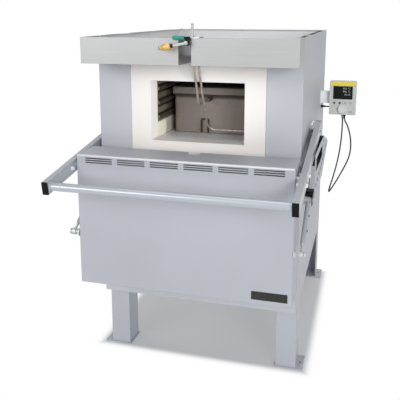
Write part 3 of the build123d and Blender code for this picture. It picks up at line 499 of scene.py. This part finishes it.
for name, node in nodes.items():
    finish = finish_of.get(name, body_paint)
    if not node.material_slots:
        node.data.materials.append(finish)
    for place in node.material_slots:
        place.material = finish
cable_line.data.materials.append(cable_rubber)
print("finished", len(nodes), "nodes,", len(nodes) - len(finish_of), "of them painted sheet")

# %% [markdown]
# ## Turned and folded pieces
# Most small parts of a machine are either turned on a lathe or cut from bar. Two helpers cover
# them. `turned` spins a profile of (distance, radius) pairs about an axis, and `bar` makes a
# block with broken edges. Both write into one bmesh, so that a list of parts becomes one piece.
# The furnace is the same on both sides, so `side_bar` measures its width outwards from the
# middle, and works for either side.

# %% Mesh helpers
def turned(mesh, start, direction, profile, sides=32):
    axis = Vector(direction).normalized()
    side = axis.orthogonal().normalized()
    other = axis.cross(side)
    start = spot(*start)
    rings = []
    for distance, radius in profile:
        ring = []
        for step in range(sides):
            angle = 2 * math.pi * step / sides
            offset = (side * math.cos(angle) + other * math.sin(angle)) * radius / 1000
            ring.append(mesh.verts.new(start + axis * distance / 1000 + offset))
        rings.append(ring)
    for near, far in zip(rings, rings[1:]):
        for step in range(sides):
            after = (step + 1) % sides
            mesh.faces.new((near[step], near[after], far[after], far[step]))
    mesh.faces.new(rings[0][::-1])
    mesh.faces.new(rings[-1])


def bar(mesh, low, high, edge):
    low, high = spot(*low), spot(*high)
    centre, size = (low + high) / 2, high - low
    placed = Matrix.Translation(centre) @ Matrix.Diagonal((*size, 1))
    made = bmesh.ops.create_cube(mesh, size=1.0, matrix=placed)
    edges = list(dict.fromkeys(e for v in made["verts"] for e in v.link_edges))
    bmesh.ops.bevel(mesh, geom=edges, offset=edge / 1000, segments=3, profile=0.5,
                    affect="EDGES")


def side_bar(mesh, side, across, setbacks, heights, edge):
    left, right = sorted(side * distance for distance in across)
    bar(mesh, (left, setbacks[0], heights[0]), (right, setbacks[1], heights[1]), edge)


def enter(name, data, body):
    """Puts a finished mesh into the scene, on its body."""
    piece = bpy.data.objects.new(name, data)
    bpy.context.scene.collection.objects.link(piece)
    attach(piece, body)
    print(f"{name}: {len(data.polygons)} faces on {body}")
    return piece


def piece_from(name, mesh, material, body):
    data = bpy.data.meshes.new(name)
    bmesh.ops.recalc_face_normals(mesh, faces=mesh.faces)
    mesh.to_mesh(data)
    mesh.free()
    data.shade_smooth()
    data.set_sharp_from_angle(angle=math.radians(40))
    data.materials.append(material)
    return enter(name, data, body)


def piece_of(name, parts, material, body):
    """Each part is a helper, followed by what it is given after the mesh."""
    mesh = bmesh.new()
    for make, *given in parts:
        make(mesh, *given)
    return piece_from(name, mesh, material, body)


SIDES = ((1, "right"), (-1, "left"))
print("mesh helpers ready")

# %% [markdown]
# ## Strain reliefs
# A cable that is clamped hard breaks where it bends. The rubber sleeve at each end is thick at
# the wall and thin towards the cable, with ribs that let it bend. The ribs are part of the
# turned profile.

# %% Strain reliefs
def relief_profile(base, length, ribs):
    profile = [(-1.0, base), (9.0, base), (9.5, base - 0.8)]
    for rib in range(ribs):
        share = rib / ribs
        at = 10 + (length - 12) * share
        radius = (base - 1.2) * (1 - share) + 4.4 * share
        profile += [(at, radius), (at + 1.6, radius), (at + 2.1, radius - 0.7),
                    (at + 2.9, radius - 0.7)]
    return profile + [(length, 4.2)]


strain_reliefs = piece_of("strain_reliefs", [
    (turned, (518, 826, 932), (0, 0, -1), relief_profile(6.6, 22.0, 3)),
    (turned, (400, 872, 960), (1, 0, 0), relief_profile(6.6, 24.0, 4)),
], black_plastic, "housing")
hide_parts("cable_glands")

# %% [markdown]
# ## What the display shows
# Plain numbers, a set temperature, the true one and a time, are typed into a text object. Blender
# turns the letters into a mesh with a little thickness, and that mesh is stood upright just in
# front of the glass. Any other numbers would do as well.

# %% Display numbers
def lettering(lines, right, setback, baseline, size):
    """Lines of text that end at one right edge; the baseline is that of the first line."""
    text = bpy.data.curves.new("lettering", "FONT")
    text.body, text.align_x = "\n".join(lines), "RIGHT"
    text.size, text.space_line = size / 1000, 1.2
    text.extrude, text.resolution_u = 0.0001, 3
    writer = bpy.data.objects.new("writer", text)
    bpy.context.scene.collection.objects.link(writer)
    depsgraph = bpy.context.evaluated_depsgraph_get()
    written = bpy.data.meshes.new_from_object(writer.evaluated_get(depsgraph))
    bpy.data.objects.remove(writer)
    mesh = bmesh.new()
    mesh.from_mesh(written)
    bmesh.ops.remove_doubles(mesh, verts=mesh.verts, dist=1e-6)
    upright = Matrix.Rotation(math.radians(90), 4, "X")
    stand = Matrix.Translation(spot(right, setback, baseline)) @ upright
    bmesh.ops.transform(mesh, matrix=stand, verts=mesh.verts)
    return mesh


display_white = dyed("display_white", srgb(190, 194, 196), gloss=0.5, mottle=0.02)
numbers = lettering(("850 \u00b0C", "846 \u00b0C", "02:15"), right=543, setback=799.95,
                    baseline=1057, size=12.5)
piece_from("display_numbers", numbers, display_white, "housing")

# %% [markdown]
# ## Geometry Nodes for what repeats
# A furnace has dozens of bolts, hundreds of turns of heating wire and metres of weld. Modelling
# one and copying it by hand would bury the idea, so three small node trees do it. Each takes
# points or lines that say where, and named sizes that say how big. Helpers keep the wiring
# readable: `start_tree` makes a tree with its named inputs, `tree_node` adds a node and wires
# its inputs, and `grow` runs a tree on some places and bakes the result into a plain mesh,
# because an export keeps no instances.

# %% Node tree helpers
def start_tree(name, sizes):
    tree = bpy.data.node_groups.new(name, "GeometryNodeTree")
    face = tree.interface
    face.new_socket("Places", in_out="INPUT", socket_type="NodeSocketGeometry")
    for label, kind, value in sizes:
        size = face.new_socket(label, in_out="INPUT", socket_type="NodeSocket" + kind)
        size.default_value = value
    face.new_socket("Finish", in_out="INPUT", socket_type="NodeSocketMaterial")
    face.new_socket("Geometry", in_out="OUTPUT", socket_type="NodeSocketGeometry")
    start = tree.nodes.new("NodeGroupInput").outputs
    return tree, start


def tree_node(tree, kind, sockets, **settings):
    node = tree.nodes.new(kind)
    for name, value in settings.items():
        setattr(node, name, value)
    for name, value in sockets.items():
        if isinstance(value, bpy.types.NodeSocket):
            tree.links.new(value, node.inputs[name])
        else:
            node.inputs[name].default_value = value
    return node.outputs


def end_tree(tree, start, geometry):
    real = tree_node(tree, "GeometryNodeRealizeInstances", {0: geometry})
    done = tree_node(tree, "GeometryNodeSetMaterial", {
        "Geometry": real[0], "Material": start["Finish"]})
    tree_node(tree, "NodeGroupOutput", {0: done[0]})
    return tree


def times(tree, value, factor):
    return tree_node(tree, "ShaderNodeMath", {0: value, 1: factor}, operation="MULTIPLY")[0]


def raised(tree, geometry, height):
    up = tree_node(tree, "ShaderNodeCombineXYZ", {"Z": height})[0]
    return tree_node(tree, "GeometryNodeTransform", {"Geometry": geometry, "Translation": up})[0]


def joined(tree, *parts):
    join = tree.nodes.new("GeometryNodeJoinGeometry")
    for part in parts:
        tree.links.new(part, join.inputs[0])
    return join.outputs[0]


def standing(tree, start, shape, spin):
    """Instances of a shape whose Z axis follows the places' facing, turned about it at random."""
    facing = tree_node(tree, "GeometryNodeInputNamedAttribute", {"Name": "facing"},
                       data_type="FLOAT_VECTOR")
    aligned = tree_node(tree, "FunctionNodeAlignRotationToVector", {"Vector": facing[0]},
                        axis="Z")
    chance = tree_node(tree, "FunctionNodeRandomValue", {"Max": spin, "Seed": start["Seed"]},
                       data_type="FLOAT")
    turn = tree_node(tree, "ShaderNodeCombineXYZ", {"Z": chance[1]})
    spun = tree_node(tree, "FunctionNodeRotateRotation",
                     {"Rotation": aligned[0], "Rotate By": turn[0]}, rotation_space="LOCAL")
    return tree_node(tree, "GeometryNodeInstanceOnPoints", {
        "Points": start["Places"], "Instance": shape, "Rotation": spun[0]})[0]


def grow(name, tree, places, finish, body, slot, lines=(), **sizes):
    """Runs a tree on places, given as (point, facing), and bakes a plain mesh. Lines join the
    places whose numbers they hold."""
    data = bpy.data.meshes.new(name)
    data.from_pydata([spot(*point) for point, _ in places], lines, [])
    facing = data.attributes.new("facing", "FLOAT_VECTOR", "POINT")
    facing.data.foreach_set("vector", [c for _, way in places for c in way])
    maker = bpy.data.objects.new(name + "_maker", data)
    bpy.context.scene.collection.objects.link(maker)
    modifier = maker.modifiers.new("tree", "NODES")
    modifier.node_group = tree
    wanted = {label.replace("_", " "): value for label, value in sizes.items()}
    wanted["Finish"] = finish
    for socket in tree.interface.items_tree:
        if socket.in_out == "INPUT" and socket.name in wanted:
            modifier[socket.identifier] = wanted[socket.name]
    ready = maker.evaluated_get(bpy.context.evaluated_depsgraph_get())
    made = bpy.data.meshes.new_from_object(ready)
    maker.modifiers.clear()
    bpy.data.objects.remove(maker)
    made.name = name
    made.shade_smooth()
    made.set_sharp_from_angle(angle=math.radians(38))
    return enter(name, made, body)


# %% The fastener tree
def fastener_tree():
    """A head with a chamfered top on a washer; 6 sides make a bolt, 18 a round-headed screw."""
    tree, start = start_tree("fasteners", [
        ("Sides", "Int", 6), ("Head radius", "Float", 0.006), ("Head height", "Float", 0.004),
        ("Washer radius", "Float", 0.008), ("Washer height", "Float", 0.0015), ("Seed", "Int", 3)])
    washer = tree_node(tree, "GeometryNodeMeshCylinder", {
        "Vertices": 20, "Radius": start["Washer radius"], "Depth": start["Washer height"]})
    washer = raised(tree, washer["Mesh"], times(tree, start["Washer height"], 0.5))
    body = times(tree, start["Head height"], 0.8)
    head = tree_node(tree, "GeometryNodeMeshCone", {
        "Vertices": start["Sides"], "Radius Top": start["Head radius"],
        "Radius Bottom": start["Head radius"], "Depth": body})
    cap = tree_node(tree, "GeometryNodeMeshCone", {
        "Vertices": start["Sides"], "Radius Top": times(tree, start["Head radius"], 0.84),
        "Radius Bottom": start["Head radius"], "Depth": times(tree, start["Head height"], 0.2)})
    both = joined(tree, head["Mesh"], raised(tree, cap["Mesh"], body))
    whole = joined(tree, washer, raised(tree, both, start["Washer height"]))
    return end_tree(tree, start, standing(tree, start, whole, 1.05))


fasteners = fastener_tree()
print("fastener inputs:", [i.name for i in fasteners.interface.items_tree])

# %% [markdown]
# ### Heating coils
# The grooves in the side walls hold ceramic tubes with resistance wire wound round them. The
# CAD has a plain rod there for collision. The picture shows dark ribbed bands, so each rod is
# replaced by a real winding: a spiral curve, swept with a small circle, one for each tube.

# %% Coils
def winding_tree():
    tree, start = start_tree("windings", [
        ("Turns", "Float", 70.0), ("Radius", "Float", 0.0105), ("Wire", "Float", 0.0013),
        ("Length", "Float", 0.4), ("Steps", "Int", 14), ("Sides", "Int", 5), ("Seed", "Int", 1)])
    spiral = tree_node(tree, "GeometryNodeCurveSpiral", {
        "Resolution": start["Steps"], "Rotations": start["Turns"], "Start Radius": start["Radius"],
        "End Radius": start["Radius"], "Height": start["Length"]})
    round_wire = tree_node(tree, "GeometryNodeCurvePrimitiveCircle", {
        "Resolution": start["Sides"], "Radius": start["Wire"]})
    swept = tree_node(tree, "GeometryNodeCurveToMesh", {
        "Curve": spiral[0], "Profile Curve": round_wire[0], "Fill Caps": True})
    return end_tree(tree, start, standing(tree, start, swept[0], 6.28))


windings = winding_tree()
GROOVE_ACROSS = 190
coil_places = [((side * GROOVE_ACROSS, 90, level * 1000), (0, 1, 0))
               for side, _ in SIDES for level in GROOVES]
coils = grow("heating_coils", windings, coil_places, coil_alloy, "housing", "heater_ceramic",
             Turns=72.0, Length=0.464, Radius=0.0095, Wire=0.0012, Steps=13)
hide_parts("heating_rods")

# %% [markdown]
# ### Springs behind the side guards
# Through the long slot of each guard the picture shows something black and coiled: the springs
# that balance the door. The same tree winds them, thicker and wider. Each spring sits between
# two eye rods that end on bolts in the housing's mechanism plate.

# %% Springs
SPRING_ACROSS, SPRING_FRONT, SPRING_REAR = 427, (76, 818), (338, 866)
spring_run = Vector((0, SPRING_REAR[0] - SPRING_FRONT[0], SPRING_REAR[1] - SPRING_FRONT[1]))
spring_way = spring_run.normalized()
EYE_BOLTS = ((50.5, SPRING_FRONT[1] - 4.7), (363.5, SPRING_REAR[1] + 4.7))
EYE_BOLT = [(0, 9), (14, 9), (14.5, 6.5), (31, 6.5), (31.5, 9.5), (36, 9.5), (36.8, 8.5)]
for side, word in SIDES:
    front = Vector((side * SPRING_ACROSS, *SPRING_FRONT))
    grow(f"balance_spring_{word}", windings, [(front, spring_way)], black_steel, "housing",
         "black_metal", Turns=24.0, Length=spring_run.length / 1000, Radius=0.0128, Wire=0.0031,
         Steps=20, Sides=7)
    rod = [(0, 4.2), (spring_run.length + 52, 4.2)]
    hooks = [(turned, front - spring_way * 26, spring_way, rod, 14)]
    hooks += [(turned, place, spring_way, [(0, 15), (4, 15)], 24)
              for place in (front - spring_way * 4, front + spring_run)]
    hooks += [(turned, (side * 404.5, setback, height), (side, 0, 0), EYE_BOLT, 20)
              for setback, height in EYE_BOLTS]
    piece_of(f"spring_anchors_{word}", hooks, black_steel, "housing")

# %% [markdown]
# ### The link's clevis
# Below the arm the guide link turns in a black clevis, held by bright bolts. Two cheeks are
# joined behind the eye and leave the front open, so that the link can swing up with the door.

# %% Clevis
CLEVIS_BOLT = [(0, 11), (20, 11), (21, 10), (34, 10), (35, 8.5)]
for side, word in SIDES:
    clevis = [(side_bar, side, cheek, (-2, 40), (712, 752), 2.0)
              for cheek in ((406, 411), (443.8, 447.2))]
    clevis += [(side_bar, side, (405.2, 447.2), (30, 38), (716, 748), 1.5),
               (side_bar, side, (405.2, 447.2), (12, 38), (752, 757), 1.5)]
    clevis += [(turned, (side * 404.8, setback, height), (side, 0, 0), CLEVIS_BOLT, 20)
               for setback, height in ((48, 775), (72, 790))]
    piece_of(f"link_clevis_{word}", clevis, black_steel, "housing")

# %% [markdown]
# ### Bolts and screws
# Every group is a list of points and the way its heads face. Groups on different bodies are
# baked apart, so that each rides with what it fastens. The sizes of head and washer are given
# in millimetres, radius first.

# %% Fasteners of the two sides
HUB_SETBACK, HUB_HEIGHT, HUB_BOLT = 331, 942, 25
ALONG_ARM = [(-220.5, 853.7), (-141.5, 866.3)]
SCREW_SIDES = 18


def on_sides(places, *faces):
    """The same (setback, height) places on both sides. Each face is how far out it lies, and 1
    for heads that point outwards or -1 for inwards."""
    return [((side * across, *place), (side * way, 0, 0))
            for side, _ in SIDES for across, way in faces for place in places]


def fasten(name, places, finish, body, slot, head, washer, **more):
    return grow(name, fasteners, places, finish, body, slot, Head_radius=head[0] / 1000,
                Head_height=head[1] / 1000, Washer_radius=washer[0] / 1000,
                Washer_height=washer[1] / 1000, **more)


def hub_pair(up):
    places = [(HUB_SETBACK + along, HUB_HEIGHT + up) for along in (-HUB_BOLT, HUB_BOLT)]
    return on_sides(places, (406, 1))


fasten("arm_bolts", on_sides(ALONG_ARM, (441, 1), (419, -1)), bright_zinc, "arms", "zinc_steel",
       (6.8, 7.2), (8.5, 1.6))
fasten("hub_bolts", hub_pair(HUB_BOLT), bright_zinc, "housing", "zinc_steel", (6.2, 4.5),
       (7.8, 1.5))
# The lower pair are the same bolts in black steel: painted shade, for the shade under the hub.
fasten("hub_bolts_painted_shade", hub_pair(-HUB_BOLT), black_steel, "housing", "black_metal", (6.2, 4.5),
       (7.8, 1.5))
fasten("clevis_bolts", on_sides([(10.5, 731.9)], (447.2, 1)), zinc, "housing", "zinc_steel",
       (7.5, 2.6), (9.5, 1.0))
guard_places = [(40, 756), (40, 884), (388, 748), (410, 880), (638, 822)]
fasten("guard_screws", on_sides(guard_places, (448.6, 1)), black_steel, "housing", "black_metal",
       (4.2, 2.2), (5.8, 0.6), Sides=SCREW_SIDES)
fasten("spring_nuts", on_sides(EYE_BOLTS, (441, 1)), zinc, "housing", "zinc_steel", (6.8, 4.5),
       (8.5, 1.0))

# %% Screws of the rear and the deck
REAR, DECK = 1050, 1263
rear_screws = [((x, REAR, z), (0, 1, 0)) for x in (-388, 388) for z in range(290, 1331, 130)]
rear_screws += [((x, REAR, z), (0, 1, 0)) for x in range(-258, 259, 129) for z in (282, 1321)]
fasten("rear_screws", rear_screws, zinc, "housing", "zinc_steel", (4.5, 2.6), (6.2, 0.8),
       Sides=SCREW_SIDES)
deck_screws = [((x, y, DECK), (0, 0, 1)) for x in (-384, 384) for y in range(20, 1040, 200)]
fasten("deck_screws", deck_screws, zinc, "housing", "zinc_steel", (4.0, 2.4), (6.0, 0.8),
       Sides=SCREW_SIDES)

# %% Screws on the links
ANCHOR, STUD = Vector((0, 10.537, 731.872)), Vector((0, -198.0, 598.0))
for side, word in SIDES:
    dots = [((side * 440.8, *ANCHOR.lerp(STUD, share).yz), (side, 0, 0))
            for share in (0.30, 0.58)]
    fasten(f"link_screws_{word}", dots, black_steel, f"link_{word}", "black_metal", (3.5, 2.0),
           (4.5, 0.5), Sides=16)

# %% [markdown]
# ### Union nuts on the gas fittings
# Where a gas tube meets the manifold or the valve it is held by a union nut. A fastener whose
# washer is narrower than its head, standing on the tube's axis, is just such a nut.

# %% Union nuts
nut_places = [((12, -176.5, 1317), (0, -1, 0)), ((12, -153.5, 1317), (0, 1, 0)),
               ((12, -79.5, 1317), (0, -1, 0)), ((3, -68, 1332), (0, 0, 1))]
fasten("union_nuts", nut_places, zinc, "housing", "zinc_steel", (7.8, 7.0), (6.8, 1.0))

# %% [markdown]
# ### The hose coupling and the lever's sleeve
# The feed pipe ends in an egg-shaped brass coupling with a dark mouth, and the valve's lever
# wears a thick dipped sleeve. Both are turned or rounded forms over the plain solids.

# %% Coupling and sleeve
TIP_START, TIP_DROP = (-40, -190, 1306.9), math.radians(11)
TIP_WAY = (-math.cos(TIP_DROP), 0, -math.sin(TIP_DROP))
coupling = piece_of("hose_coupling", [(turned, TIP_START, TIP_WAY, [
    (-1, 6.5), (0, 9.5), (2, 11.2), (3.5, 11.2), (4.2, 10.6), (6, 11.4), (11, 12.3), (17, 12.4),
    (23, 11.6), (29, 9.8), (34, 8.0), (37, 7.2), (38.5, 7.4), (39.5, 7.0)], 40)],
    brass, "housing")
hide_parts("gas_nozzle")
piece_of("coupling_rings", [
    (turned, TIP_START, TIP_WAY, [(38.6, 5.2), (39.0, 6.4), (42, 6.0), (42.2, 4.6)]),
    (turned, TIP_START, TIP_WAY, [(-9, 6.0), (-8.6, 7.0), (-0.6, 7.4)]),
], black_steel, "housing")
sleeve = piece_of("lever_sleeve", [(bar, (-41, -170, 1327.4), (3.4, -156, 1341), 4.0)],
                  lever_teal, "valve_lever")
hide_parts("valve_lever_grip")

# %% [markdown]
# ### Welds
# The gas box is welded along its edges and round its lug. A weld is a row of overlapping drops
# along a seam, so a tree lays small spheres, of sizes that vary a little, along lines.

# %% Welds
def weld_tree():
    tree, start = start_tree("welds", [("Bead", "Float", 0.002), ("Pitch", "Float", 0.0018),
                                       ("Seed", "Int", 7)])
    seam = tree_node(tree, "GeometryNodeMeshToCurve", {"Mesh": start["Places"]})
    points = tree_node(tree, "GeometryNodeResampleCurve",
                       {"Curve": seam[0], "Length": start["Pitch"]}, mode="LENGTH")
    drop = tree_node(tree, "GeometryNodeMeshIcoSphere",
                     {"Radius": start["Bead"], "Subdivisions": 2})
    size = tree_node(tree, "FunctionNodeRandomValue",
                     {"Min": 0.8, "Max": 1.15, "Seed": start["Seed"]}, data_type="FLOAT")
    laid = tree_node(tree, "GeometryNodeInstanceOnPoints", {
        "Points": points[0], "Instance": drop["Mesh"], "Scale": size[1]})
    return end_tree(tree, start, laid[0])


welds = weld_tree()
SEAM = 211
runs = [((x, SEAM + 0.5, 929), (x, SEAM + 0.5, 1082)) for x in (-151.5, 151.5)]
runs += [((-150, SEAM, 926.5), (150, SEAM, 926.5))]
runs += [((x, SEAM, 931), (x, SEAM, 986)) for x in (-41.5, -6.5)]
grow("box_welds", welds, [(end, (0, 0, 1)) for run in runs for end in run], box_steel, "housing",
     "box_steel", lines=[(2 * n, 2 * n + 1) for n in range(len(runs))], Bead=0.0021, Pitch=0.0022)

# %% [markdown]
# ### The gas box's lid and inlet
# The lid is folded from one sheet, so its corners carry a folded-in ear, and its lower rim is
# rolled. The gas inlet ends in a nut on the front of the box, under the lid.

# %% Lid folds and inlet nut
BOX_FACE, LID_FACE = 212, 206
folds = []
for side, _ in SIDES:
    folds += [(side_bar, side, (146, 162.5), (LID_FACE - 3.2, LID_FACE + 1), (1087, 1114), 1.4),
              (turned, (side * 158, LID_FACE - 1, 1086.5), (0, 1, 0), [(0, 2.6), (325, 2.6)], 12)]
folds += [(turned, (-158, LID_FACE - 0.5, 1086.5), (1, 0, 0), [(0, 2.6), (316, 2.6)], 12),
          (turned, (-150, LID_FACE - 0.2, 1116), (1, 0, 0), [(0, 2.2), (300, 2.2)], 12)]
piece_of("lid_folds", folds, lid_steel, "box_lid")
fasten("inlet_nut", [((-1, BOX_FACE - 17, 1072), (0, -1, 0))], lug_steel, "housing", "box_steel",
       (10.5, 9.0), (8.5, 2.0))

# %% [markdown]
# ### The rear side
# The picture doesn't show the back. A furnace of this kind has its exhaust spigot and its mains
# inlet there, so the spigot gets the rolled bead that holds a duct, and the inlet its nut.

# %% Rear details
SPIGOT_ACROSS, SPIGOT_HEIGHT = -110, 1100
ROLLED = [(0, 40.0), (1.2, 41.2), (3.0, 41.8), (4.8, 41.2), (6, 40.0)]
FLANGE = [(0, 52), (2.4, 52), (3, 51.2), (3, 40.2)]
piece_of("spigot_beads", [
    (turned, (SPIGOT_ACROSS, setback, SPIGOT_HEIGHT), (0, 1, 0), profile, 56)
    for setback, profile in ((1082, ROLLED), (1112, ROLLED), (REAR - 0.5, FLANGE))
], stainless, "housing")
fasten("inlet_gland_nut", [((250, REAR + 0.2, 400), (0, 1, 0))], black_plastic, "housing",
       "black_plastic", (20.5, 8.0), (21.5, 2.0))
spigot_screws = []
for step in range(8):
    angle = math.pi / 8 + step * math.pi / 4
    across, up = 46.5 * math.cos(angle), 46.5 * math.sin(angle)
    spigot_screws.append(((SPIGOT_ACROSS + across, REAR + 2.4, SPIGOT_HEIGHT + up), (0, 1, 0)))
fasten("spigot_screws", spigot_screws, zinc, "housing", "zinc_steel", (3.2, 1.8), (4.2, 0.4),
       Sides=SCREW_SIDES)

# %% [markdown]
# ### Small things on the door, the rims and the controller
# The door's front carries one dark plate, left bare. Its side sheets have a folded seam, and its
# top edge is a rolled fold, painted paler than the door as a painted highlight. On each rim lie
# three dark strips, where the picture shows slots: they are painted shade, for the shade inside
# those slots. The controller has a flap over a socket beside its wheel, and the handle bar a weld
# ring at each arm.

# %% Door, rim and controller details
piece_of("bare_plate", [(bar, (261, -210.4, 415), (391, -208.8, 447), 0.7)], bare_plate, "door")
piece_of("door_seams", [
    (side_bar, side, (405.2, 406.9), seam, (402, 900), 0.5)
    for side, _ in SIDES for seam in ((-152, -148), (-78, -76))
], body_paint, "door")
# The door's top edge is painted paler: a painted highlight along the fold.
piece_of("door_edge_highlight", [
    (turned, (-402, -205, 901), (1, 0, 0), [(0, 3.8), (0.6, 4.3), (803.4, 4.3), (804, 3.8)])
], edge_highlight_paint, "door")
# Dark strips on the rims: painted shade, standing in for the shade inside the slots there.
piece_of("rim_slot_shades", [
    (side_bar, side, (379, 395), strip, (1331.5, 1333.8), 0.4)
    for side, _ in SIDES for strip in ((22, 180), (306, 580), (622, 884))
], black_plastic, "housing")
piece_of("socket_flap", [(bar, (537, 799.2, 941), (555, 800.2, 953), 0.4)], wheel_grey, "housing")
ARM_REACH, ARM_DIP = 720, math.radians(9.1)
BAR_SETBACK = HUB_SETBACK - ARM_REACH * math.cos(ARM_DIP)
BAR_HEIGHT = HUB_HEIGHT - ARM_REACH * math.sin(ARM_DIP)
WELD_RING = [(0, 17.8), (1.4, 17.4), (2.8, 16.4), (3.6, 15.1)]
piece_of("handle_welds", [
    (turned, (side * 419.2, BAR_SETBACK, BAR_HEIGHT), (-side, 0, 0), WELD_RING, 36)
    for side, _ in SIDES
], arm_paint, "arms")

# %% [markdown]
# ## Floor, backdrop and light
# The picture is a cut-out on white, and between the feet it kept the floor in the furnace's
# shadow, a patch of grey. So the floor mixes a plain colour into what the lamps give it, for the
# rays that come straight from the camera or by way of metal. Outside the feet that colour is white
# and covers the floor whole, so it blends with the white behind. Between the feet it is grey, a
# painted shadow, and a share of the true shade shows through. The edge between the two is a
# narrow soft step.

# %% Floor
PATCH_HALF_WIDTH, PATCH_HALF_DEPTH, PATCH_MIDDLE = 0.43, 0.49, -0.017
# The grey between the feet is a painted shadow.
PAINTED_SHADOW_GREY, PLAIN_SHARE = srgb(177, 178, 181), 0.72


def stage_floor():
    mesh = bmesh.new()
    bmesh.ops.create_grid(mesh, x_segments=1, y_segments=1, size=14.0)
    data = bpy.data.meshes.new("floor")
    mesh.to_mesh(data)
    mesh.free()
    floor = bpy.data.objects.new("floor", data)
    bpy.context.scene.collection.objects.link(floor)
    finish = Finish("floor_white_and_painted_shadow", Roughness=0.9, Base_Color=(0.86, 0.86, 0.865, 1))
    camera_ray, glossy_ray, glass_ray = (
        finish.node("LightPath", {}, {}, f"Is {kind} Ray")
        for kind in ("Camera", "Glossy", "Transmission"))
    seen = camera_ray + glossy_ray + glass_ray
    across = finish.absolute(finish.axis("X")) - PATCH_HALF_WIDTH
    along = finish.absolute(finish.axis("Y") - PATCH_MIDDLE) - PATCH_HALF_DEPTH
    away = finish.node("Math", {"operation": "MAXIMUM"}, {0: across, 1: along})
    # Grey between the feet, white outside: the grey is a painted shadow.
    colour = finish.mix(finish.between(away, -0.01, 0.03), PAINTED_SHADOW_GREY, (1, 1, 1))
    plain = finish.node("Emission", {}, {"Color": colour, "Strength": 1.0})
    lit = Wire(finish, finish.shader.outputs[0])
    share = finish.between(away, 0.0, 0.05, PLAIN_SHARE, 1.0)
    mixed = finish.node("MixShader", {}, {0: seen * share, 1: lit, 2: plain})
    finish.tree.links.new(mixed.socket, finish.tree.nodes["Material Output"].inputs["Surface"])
    data.materials.append(finish.material)
    print("floor patch:", 2 * PATCH_HALF_WIDTH, "by", 2 * PATCH_HALF_DEPTH, "m")


stage_floor()

# %% [markdown]
# ### A white room
# The world is pure white to the camera and fairly bright to metal, which needs something to
# reflect. To everything else it is nearly dark, so that the lamps alone model the sheets.

# %% Backdrop
def room(ambient, mirrored):
    world = bpy.data.worlds.new("studio")
    bpy.context.scene.world = world
    world.use_nodes = True
    tree = world.node_tree
    path = tree_node(tree, "ShaderNodeLightPath", {})
    seen = tree_node(tree, "ShaderNodeMath", {
        0: path["Is Glossy Ray"], 1: mirrored, 2: path["Is Camera Ray"]},
        operation="MULTIPLY_ADD", use_clamp=True)
    strength = tree_node(tree, "ShaderNodeMapRange", {
        "Value": seen[0], "To Min": ambient, "To Max": 1.0})
    background = tree.nodes["Background"]
    background.inputs["Color"].default_value = (1, 1, 1, 1)
    tree.links.new(strength["Result"], background.inputs["Strength"])


room(ambient=0.15, mirrored=0.62)
print("world:", bpy.context.scene.world.name)

# %% [markdown]
# ### Lamps
# Large area lamps from the front, above, behind and the left make soft gradients on the sheets.
# The last two are hidden from reflections, because they would glare on the rim. The inside of
# the mouth would be dark, so a narrow spot looks into it from the right. Light linking keeps
# that spot off the door and the arms: on the shut door it would draw a bright patch.

# %% Lamps
LAMPS = (  # name, place, target, width, height, watts, seen in reflections
    ("key", (-3.9, -7.4, 3.7), (0, -0.3, 0.8), 4.6, 3.6, 192.0, True),
    ("front", (4.2, -6.6, 2.4), (0.1, -0.3, 0.9), 3.4, 2.8, 276.0, True),
    ("top", (0.2, -0.4, 4.6), (0, 0, 1.0), 3.4, 3.4, 54.0, True),
    ("rear", (1.0, 4.6, 2.6), (0, 0.2, 0.8), 3.2, 2.2, 120.0, False),
    ("left", (-5.0, 1.4, 2.4), (-0.4, 0, 0.8), 3.2, 2.2, 110.0, False),
)


def hang(name, data, place, target):
    light = bpy.data.objects.new(name, data)
    light.location = place
    light.rotation_euler = (Vector(target) - Vector(place)).to_track_quat("-Z", "Y").to_euler()
    bpy.context.scene.collection.objects.link(light)
    return light


for name, place, target, width, height, watts, reflected in LAMPS:
    area = bpy.data.lights.new(name, "AREA")
    area.shape = "RECTANGLE"
    area.size, area.size_y, area.energy = width, height, watts
    hang(name, area, place, target).visible_glossy = reflected
narrow = bpy.data.lights.new("mouth", "SPOT")
narrow.energy, narrow.shadow_soft_size = 160.0, 0.06
narrow.spot_size, narrow.spot_blend = math.radians(7.0), 0.6
mouth_spot = hang("mouth", narrow, (2.5, -1.68, 1.3), (-0.16, -0.49, 1.04))
unlit = bpy.data.collections.new("outside_the_mouth")
for name in ("door_shell", "handle_tube", "arm_right", "arm_left"):
    unlit.objects.link(nodes[name])
for member in unlit.collection_objects:
    member.light_linking.link_state = "EXCLUDE"
mouth_spot.light_linking.receiver_collection = unlit
bpy.context.scene.view_settings.view_transform = "Standard"
